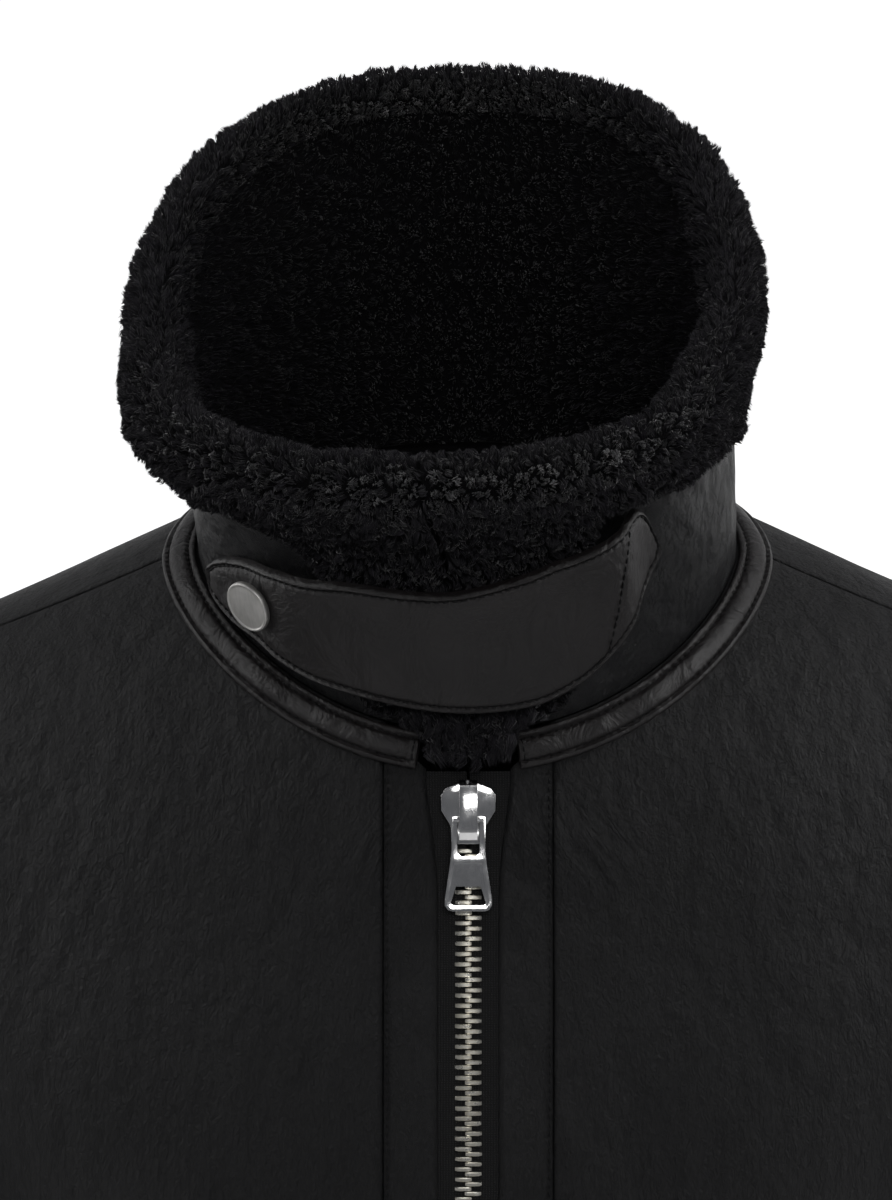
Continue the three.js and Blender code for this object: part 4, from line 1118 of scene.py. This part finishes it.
def collar_hide():
    stations = np.concatenate([
        np.linspace(NECK_GAP_STATION, 1.2, 110),
        np.linspace(1.2, 2.8, 70)[1:-1] - np.where(np.linspace(1.2, 2.8, 70)[1:-1] > 2, LOOP, 0),
        np.linspace(-1.2, -NECK_GAP_STATION, 110),
    ])
    heights = np.linspace(0, HIDE_TOP, 32)[:, None]
    flat = collar_point(stations[None, :], heights)
    creases = 0.5 * lumps(flat, 16, 21) + 0.25 * lumps(flat, 7, 22)
    outer = collar_point(stations[None, :], heights, creases * smooth(heights / 0.1))
    inner = collar_point(stations[None, :], heights, -HIDE)
    hide = wall("collar_leather_shell", outer, inner, [COLLAR_LEATHER])
    piece(hide, replaces=["collar_hide"])


def fold_edge_at(station):
    return np.interp(station, COLLAR["station"], COLLAR["foldEdge"])


def wool_grids(stations, inside_steps, roll_steps, facing_steps):
    """The wool's skin and its slot for the hide, with the outward direction. Rows follow the section."""
    st = stations[None, :]
    back_face = -HIDE - SEAM_GAP
    inside_lift = back_face - COLLAR_WOOL
    roll = collar_column("roll", stations)[None, :]
    edge = fold_edge_at(stations)[None, :]

    def point(height, lift):
        return collar_point(st, height, lift) + throat_drop(st + 0 * height, height)

    up = unit(collar_surface(st, 1.0) - collar_surface(st, 0.97))
    normal = collar_normal(st, 1.0)
    inside_heights = np.linspace(0, 1, inside_steps)[:, None] + 0 * st
    skin = [point(inside_heights, inside_lift)]
    ways = [-collar_normal(st, inside_heights)]
    slot = [point(inside_heights * HIDE_TOP, back_face)]
    angles = np.radians(np.linspace(180, 0, roll_steps + 2)[1:-1])[:, None]
    middle = collar_point(st, 1.0, (roll + inside_lift) / 2)
    half = (roll - inside_lift) / 2
    around = scaled(normal + np.zeros((roll_steps, 1, 1)), np.cos(angles) + 0 * st)
    around = around + scaled(up + np.zeros((roll_steps, 1, 1)), np.sin(angles) + 0 * st)
    skin.append(middle + scaled(around, half + 0 * angles))
    ways.append(around)
    slot.append(point(HIDE_TOP + 0.015 + 0 * angles + 0 * st, mix(
        SEAM_GAP * 3, back_face, angles / math.pi) + 0 * st))
    shares = (np.linspace(0, 1, facing_steps) ** 0.9)[:, None]
    heights = mix(1.0, edge, shares)
    taper = 1 - 0.45 * bell(heights - edge, 0.03)
    facing = mix(FACING_WOOL, roll, smooth((heights - ROLL_FOOT) / (1 - ROLL_FOOT))) * taper
    skin.append(point(heights, facing))
    ways.append(collar_normal(st, heights))
    slot.append(point(mix(HIDE_TOP, edge, shares), SEAM_GAP * 3 + 0 * heights))
    return np.concatenate(skin), np.concatenate(slot), np.concatenate(ways)


PILE_LENGTH = 3.2
PILE_SUNK = 2.3  # how far the dense ground lies below the wool's outer form
BLADE_WIDTH = 0.42
THROAT_FUR = {"stations": 0.13, "rows": 6, "count": 9000, "length": 5.5}


def collar_wool():
    at_front = 0.004
    half = np.concatenate([np.linspace(at_front, 0.5, 60), np.linspace(0.5, 2, 120)[1:]])
    stations = np.concatenate([half, -half[::-1][1:]])
    skin, slot, ways = wool_grids(stations, 16, 16, 22)
    flow_up = unit(np.gradient(skin, axis=0))
    lump = 0.9 * lumps(skin, 8, 31) + 0.8 * lumps(skin, 4.2, 32) + 0.35 * lumps(skin, 2.4, 33)
    shaped = skin + scaled(ways, lump - PILE_SUNK)
    ground = wall("collar_wool_ground", shaped, slot, [WOOL_GROUND])
    piece(ground, replaces=["collar_wool"])

    row = np.arange(len(skin))[:, None] + 0 * stations[None, :]
    back = smooth((np.abs(stations) - 0.9) / 0.5)[None, :] + 0.0 * row
    curl = np.where(row > 31, 1.0, mix(0.9, 0.5, back))
    flow = scaled(flow_up, np.where(row > 31, 0.3, 0.1))
    length = PILE_LENGTH * (1 + 0.15 * back)
    for name, first, last, count, lock_size, material in FUR_PIECES:
        weight = ((row >= first) & (row <= last)) * 1.0
        made = fur(
            name, shaped, ways, flow, weight, count, length, lock_size, curl, 0.5, BLADE_WIDTH, material)
        piece(made)

    throat = np.abs(stations) < THROAT_FUR["stations"]
    last_rows = slice(len(skin) - THROAT_FUR["rows"], None)
    grid = shaped[last_rows][:, throat]
    out = ways[last_rows][:, throat]
    down = -flow_up[last_rows][:, throat]
    level = np.ones(grid.shape[:2])
    made = fur("fur_throat", grid, out, scaled(down, -1.6 * level), level, THROAT_FUR["count"],
               THROAT_FUR["length"] * level, 3.0, level, 0.4, BLADE_WIDTH, WOOL)
    piece(made)


# name, first row, last row, blades, size of a lock, material
FUR_PIECES = [
    ("fur_facing", 30, 60, 82000, 2.7, WOOL),
    ("fur_roll", 14, 32, 86000, 2.7, WOOL),
    ("fur_inside", 0, 16, 52000, 3.6, DARKENED_INSIDE_WOOL),
]


# Trims

def neck_band():
    """The padded band, with rolled edges, two rows of stitches and a stitched end on each side."""
    start = float(abs(s_at_x(1, np.array(0.0), BAND_END_X)))
    front = mix(start, 1, uneven_shares(150, [0, 0.003, 0.007, 0.012, 0.02]))
    front = np.concatenate([front[front < 0.985], np.linspace(0.985, 1, 4)])
    back = np.linspace(1, 0, 80)[1:]
    half = [(FRONT, s) for s in front] + [(BACK, s) for s in back]
    places = [(rows, s) for rows, s in half] + [(rows, -s) for rows, s in half[:-1][::-1]]
    across = np.array([0.6, 0.75, 1.1, 1.6, 2.2, 2.8, 3.4, 4.2, 5.4, 6.8, 8.2, 9.6,
                       10.3, 10.9, 11.5, 12.1, 12.7, 13.1,
                       13.35, 13.5])
    is_front = np.array([rows is FRONT for rows, _ in places])
    s = np.array([value for _, value in places])

    def grid(lift):
        columns = []
        for rows, wanted in ((FRONT, is_front), (BACK, ~is_front)):
            ss = s[wanted][None, :] + 0 * across[:, None]
            v = v_at_distance(rows, ss, across[:, None] + 0 * ss)
            columns.append((wanted, body_point(rows, ss, v, lift[:, None] + 0 * ss)))
        joined = np.zeros((len(across), len(s), 3))
        for wanted, points in columns:
            joined[:, wanted] = points
        return joined

    distance = np.minimum(across - 0.6, BAND_WIDTH - across)
    top = 2.5 + 1.0 * bell(across - 7, 4.2) - sum(
        0.8 * bell(across - at, 0.7) for at in BAND_GROOVES)
    top = top + 0.9 * edge_roll(distance, 1.3)
    outer, inner = grid(top), grid(0 * across + 0.7)
    ends = edge_roll(border_distance(outer, ["start", "end"]), 1.4)
    uneven = 0.3 * lumps(outer, 14, 41) * smooth(distance[:, None] / 2)
    outward = unit(outer - inner)
    outer = outer + scaled(outward, np.maximum(ends, -1.3) + uneven)
    reach = np.linalg.norm(np.diff(outer[9], axis=0), axis=1).cumsum()
    end_column = int(np.searchsorted(reach, TOPSTITCH_INSET)) + 1
    ends = (end_column, outer.shape[1] - 1 - end_column)
    sewn = [(int(np.argmin(np.abs(across - at))), slice(end_column, -end_column)) for at in BAND_GROOVES]
    sewn += [(slice(sewn[0][0], sewn[1][0] + 1), column) for column in ends]
    outer = outer + scaled(outward, drawn_in(outer, [outer[place] for place in sewn]))
    band = wall("neck_band_leather", outer, inner, [SMOOTH_LEATHER])
    piece(band, replaces=["neck_band"])
    sewing["trim"] += [(outer[place], outward[place]) for place in sewn]


def collar_strap():
    """The strap with rolled edges, a row of stitches all round and one across its sewn end."""
    first, last = STRAP["station"][0], STRAP["station"][-1]
    stations = mix(first, last, uneven_shares(260, [0, 0.001, 0.003, 0.006, 0.01]))
    shares = uneven_shares(12, [0, 0.006, 0.014, 0.024, 0.034, 0.044, 0.054, 0.066, 0.085, 0.11])
    st, sh = stations[None, :], shares[:, None]
    flat = strap_point(st + 0 * sh, sh + 0 * st, STRAP_THICK)
    edge = border_distance(flat)
    height = STRAP_THICK + edge_roll(edge, 1.4) - 0.55 * bell(edge - TOPSTITCH_INSET, 0.75)
    height = height + 0.3 * bell(edge - 1.1, 0.8)
    height = height + 0.4 * lumps(flat, 26, 51) * smooth(edge / 6)
    outer = strap_point(st + 0 * sh, sh + 0 * st, height)
    inner = strap_point(st + 0 * sh, sh + 0 * st, 0.0)
    normal = unit(outer - inner)
    runs = [
        inset_run(edge, outer, normal, TOPSTITCH_INSET),
        strap_end_run(stations, shares, edge, outer, normal),
    ]
    outer = outer + scaled(normal, drawn_in(outer, [path for path, _ in runs]))
    strap = wall("collar_strap_leather", outer, inner, [SMOOTH_LEATHER])
    piece(strap, replaces=["collar_strap"])
    sewing["trim"] += runs


def strap_end_run(stations, shares, edge, grid, normal):
    """The stitches that run across the strap near its sewn end."""
    columns = np.interp(mix(*STRAP_END_LINE, shares), stations, np.arange(len(stations)))
    rows = [row for row in range(len(shares)) if edge[row, int(columns[row])] > TOPSTITCH_INSET]

    def picked(values):
        low = np.floor(columns).astype(int)
        return np.array([mix(values[r, low[r]], values[r, low[r] + 1], columns[r] - low[r]) for r in rows])

    return picked(grid), picked(normal)


def inset_run(edge, grid, normal, inset):
    """A closed run round a sheet at a distance inside its border, with the directions out of it."""
    low, high = [], []
    for column in range(edge.shape[1]):
        top = int(np.argmax(edge[:, column]))
        if edge[top, column] < inset:
            continue
        before = np.interp(inset, edge[:top + 1, column], np.arange(top + 1))
        after = np.interp(-inset, -edge[top:, column], np.arange(top, edge.shape[0]))
        for run, row in ((low, before), (high, after)):
            whole = min(int(row), edge.shape[0] - 2)
            part = row - whole
            run.append([
                mix(values[whole, column], values[whole + 1, column], part)
                for values in (grid, normal)
            ])
    run = np.array(low + high[::-1] + low[:1])
    return run[:, 0], unit(run[:, 1])


def snap_cap():
    profile = [
        (0, 2.62), (3, 2.6), (6, 2.52), (7.4, 2.42), (7.9, 2.36), (8.15, 2.42), (8.45, 2.6),
        (8.75, 2.6), (9.0, 2.46),
        (9.17, 2.15), (9.2, 1.7), (9.2, 0.9), (9.0, 0.5), (8.4, 0.05), (5, 0), (0, 0),
    ]
    spokes = 72
    st, up = np.array(SNAP_STATION), np.array(SNAP_UP)
    lift = strap_column("lift", st) + STRAP_THICK + SEAM_GAP * 7
    centre, out = collar_point(st, up, lift), collar_normal(st, up)
    right = unit(np.cross(out, np.array([0.0, 0, 1])))
    over = np.cross(out, right)
    vertices, faces = [], []
    for radius, height in profile[1:-1]:
        for k in range(spokes):
            angle = 2 * math.pi * k / spokes
            around = right * math.cos(angle) + over * math.sin(angle)
            vertices.append(centre + around * radius + out * height)
    rings = len(profile) - 2
    ids = np.arange(rings * spokes).reshape(rings, spokes)
    nxt = np.roll(ids, -1, axis=1)
    faces.append(np.stack([ids[:-1], ids[1:], nxt[1:], nxt[:-1]], -1).reshape(-1, 4))
    vertices.append(centre + out * profile[0][1])
    vertices.append(centre + out * profile[-1][1])
    top, bottom = rings * spokes, rings * spokes + 1
    faces.append(np.stack([np.full(spokes, top), ids[0], nxt[0]], -1))
    faces.append(np.stack([np.full(spokes, bottom), nxt[-1], ids[-1]], -1))
    made = make_object("snap_cap_brushed", np.array(vertices), faces, [CAP_METAL], smooth_angle=30)
    piece(made, replaces=["snap_cap"])


# Zip

def zip_tapes():
    distances = np.linspace(ZIP_START, ZIP_LENGTH - 1, 130)[:, None]
    shares = np.linspace(0, 1, 9)[None, :]
    for name, side in (("left", 1), ("right", -1)):
        x = side * mix(TAPE_MEET + 0 * distances, zip_edge(distances) + 1.5, shares)
        ribs = 0.16 * np.sin(shares * 8 * math.pi)
        outer = zip_point(distances, x, TAPE_TOP + ribs)
        inner = zip_point(distances, x, TAPE_BACK + 0 * x)
        tape = wall(f"zip_tape_{name}_woven", outer, inner, [TAPE])
        piece(tape, replaces=[f"zip_tape_{name}"])


def tooth_shape():
    """One tooth reaching from its tape to just past the middle: x across, y up the zip, z out."""
    bm = bmesh.new()
    stations = [(-4.5, 0.6, 0.9), (-3.6, 0.68, 1.5), (-0.4, 0.7, 1.6), (0.5, 0.68, 1.55), (1.1, 0.55, 1.35)]
    rings = []
    for x, half_y, half_z in stations:
        corner = 0.22
        ring = []
        for sy, sz in ((1, 1), (1, -1), (-1, -1), (-1, 1)):
            first = (x, sy * half_y, sz * (half_z - corner))
            second = (x, sy * (half_y - corner), sz * half_z)
            ring += [first, second] if sy * sz < 0 else [second, first]
        rings.append([bm.verts.new(p) for p in ring])
    for a, b in zip(rings, rings[1:]):
        for k in range(8):
            bm.faces.new((a[k], a[(k + 1) % 8], b[(k + 1) % 8], b[k]))
    bm.faces.new(rings[0][::-1])
    bm.faces.new(rings[-1])
    bmesh.ops.recalc_face_normals(bm, faces=bm.faces)
    bmesh.ops.triangulate(bm, faces=[f for f in bm.faces if len(f.verts) > 4])
    vertices = np.array([v.co[:] for v in bm.verts])
    quads = np.array([[v.index for v in f.verts] for f in bm.faces if len(f.verts) == 4])
    tris = np.array([[v.index for v in f.verts] for f in bm.faces if len(f.verts) == 3])
    bm.free()
    return vertices, quads, tris


def zip_teeth():
    shape, quads, tris = tooth_shape()
    vertices, all_quads, all_tris = [], [], []
    pairs = int((CHAIN_END - CHAIN_START) / TOOTH_PITCH)
    base = 0
    for side in (1, -1):
        distance = CHAIN_START + (np.arange(pairs) + (0.5 if side > 0 else 0.0)) * TOOTH_PITCH
        point, down, out = zip_frame(distance)
        wobble = rng.normal(0, 0.05, (pairs, 3))
        origin = point + out * TOOTH_MIDDLE + wobble
        for i in range(pairs):
            local = shape * np.array([-side, 1, 1])
            placed = origin[i] + local[:, :1] * np.array([1.0, 0, 0])
            placed = placed - local[:, 1:2] * down[i] + local[:, 2:] * out[i]
            vertices.append(placed)
            flip = side < 0
            all_quads.append((quads[:, ::-1] if not flip else quads) + base)
            all_tris.append((tris[:, ::-1] if not flip else tris) + base)
            base += len(shape)
    made = make_object("zip_teeth", np.concatenate(vertices),
                       [np.concatenate(all_quads), np.concatenate(all_tris)],
                       [TEETH], smooth_angle=35)
    piece(made, replaces=["zip_chain"])


def bevelled(node, name, body, material, width):
    """A CAD solid with its flat faces joined and its edges rounded."""
    bm = bmesh.new()
    bm.from_mesh(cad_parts[node].data)
    bmesh.ops.remove_doubles(bm, verts=bm.verts, dist=1e-6)
    bmesh.ops.dissolve_limit(bm, angle_limit=math.radians(3), verts=bm.verts, edges=bm.edges)
    sharp = [e for e in bm.edges if len(e.link_faces) == 2 and e.calc_face_angle(0) > math.radians(28)]
    bmesh.ops.bevel(bm, geom=sharp, offset=width * MM, offset_type="OFFSET",
                    segments=2, profile=0.5, affect="EDGES",
                    clamp_overlap=True)
    bmesh.ops.triangulate(bm, faces=[f for f in bm.faces if len(f.verts) > 4])
    mesh = bpy.data.meshes.new(name)
    bm.to_mesh(mesh)
    bm.free()
    mesh.materials.clear()
    mesh.materials.append(material)
    mesh.polygons.foreach_set("material_index", np.zeros(len(mesh.polygons), np.int32))
    mesh.polygons.foreach_set("use_smooth", np.ones(len(mesh.polygons), bool))
    mesh.set_sharp_from_angle(angle=math.radians(35))
    made = bpy.data.objects.new(name, mesh)
    bpy.context.scene.collection.objects.link(made)
    return piece(made, body=body, replaces=[node])


def zip_metal():
    bevelled("zip_slider", "zip_slider_polished", "coat", NICKEL, 0.3)
    bevelled("zip_pull", "zip_pull_polished", "zip_pull", NICKEL, 0.28)
    bevelled("zip_box", "zip_box_silver", "coat", TEETH, 0.5)


# Stage, light and camera

EYE = Vector((-7.6, -1217.6, 425.4)) * MM
TARGET = Vector((-7.6, -90, 15)) * MM
LENS = 108
FLOOR_Z = -0.95
FLOOR_GLOW = 0.9
GLOW_FROM, GLOW_TO = 0.5, 1.2  # metres behind the coat
WORLD_FRONT = (0.1, 0.103, 0.11)
WORLD_BACK = (0.4, 0.4, 0.41)
# name, place in metres, width, height, watts
SOFT_BOXES = [
    ("box_left", (-1.5, 0.2, 0.6), 0.6, 1.4, 14.0),
    ("box_right", (1.5, 0.2, 0.6), 0.6, 1.4, 15.0),
    ("box_front", (0.2, -1.7, 1.2), 1.1, 0.5, 14.0),
    ("box_top", (0.0, -0.5, 1.7), 1.4, 0.7, 6.0),
]


def studio():
    """A dim room with a pale floor that glows behind the coat, and soft boxes round it."""
    world = bpy.data.worlds.new("studio")
    bpy.context.scene.world = world
    world.use_nodes = True
    nodes, links = world.node_tree.nodes, world.node_tree.links
    coordinates = nodes.new("ShaderNodeTexCoord")
    split = nodes.new("ShaderNodeSeparateXYZ")
    behind = nodes.new("ShaderNodeMapRange")
    for key, value in {"From Min": -0.2, "From Max": 0.7}.items():
        behind.inputs[key].default_value = value
    ramp = nodes.new("ShaderNodeValToRGB")
    ramp.color_ramp.elements[0].color = (*WORLD_FRONT, 1)
    ramp.color_ramp.elements[1].color = (*WORLD_BACK, 1)
    links.new(coordinates.outputs["Generated"], split.inputs[0])
    links.new(split.outputs["Y"], behind.inputs["Value"])
    links.new(behind.outputs["Result"], ramp.inputs["Fac"])
    links.new(ramp.outputs["Color"], nodes["Background"].inputs["Color"])

    floor_mesh = bpy.data.meshes.new("floor")
    bm = bmesh.new()
    bmesh.ops.create_grid(bm, x_segments=8, y_segments=8, size=60)
    bm.to_mesh(floor_mesh)
    bm.free()
    shader = Shader("floor_paper", Roughness=1.0, Specular_IOR_Level=0.0, Emission_Strength=FLOOR_GLOW)
    place = shader.node("ShaderNodeSeparateXYZ", {"Vector": shader.place}).outputs["Y"]
    glow = shader.span(place, GLOW_FROM, GLOW_TO, 0.0, 1.0)
    colour = shader.ramp(shader.noise(0.6, 2.0), [(0.4, (0.9, 0.9, 0.9)), (0.6, (0.92, 0.92, 0.92))])
    floor_mesh.materials.append(shader.use(
        Base_Color=colour, Emission_Color=shader.ramp(glow, [(0, (0, 0, 0)), (1, (1, 1, 1))])))
    floor = bpy.data.objects.new("floor", floor_mesh)
    floor.location.z = FLOOR_Z
    bpy.context.scene.collection.objects.link(floor)

    for name, place, width, height, power in SOFT_BOXES:
        data = bpy.data.lights.new(name, "AREA")
        data.shape, data.size, data.size_y, data.energy = "RECTANGLE", width, height, power
        lamp = bpy.data.objects.new(name, data)
        lamp.location = place
        aim = (Vector((0, -0.05, -0.05)) - lamp.location).to_track_quat("-Z", "Y")
        lamp.rotation_euler = aim.to_euler()
        bpy.context.scene.collection.objects.link(lamp)


def camera():
    data = bpy.data.cameras.new("photo_camera")
    data.lens, data.sensor_width = LENS, 36
    made = bpy.data.objects.new("photo_camera", data)
    made.location = EYE
    made.rotation_euler = (TARGET - EYE).to_track_quat("-Z", "Y").to_euler()
    bpy.context.scene.collection.objects.link(made)
    bpy.context.scene.camera = made
    bpy.context.scene.view_settings.view_transform = "Standard"


body_panels()
front_strips()
sleeves()
collar_hide()
collar_wool()
neck_band()
collar_strap()
snap_cap()
zip_tapes()
zip_teeth()
zip_metal()
piece(stitches("body_stitches", sewing["body"], THREAD))
piece(stitches("trim_stitches", sewing["trim"], THREAD))
studio()
camera()
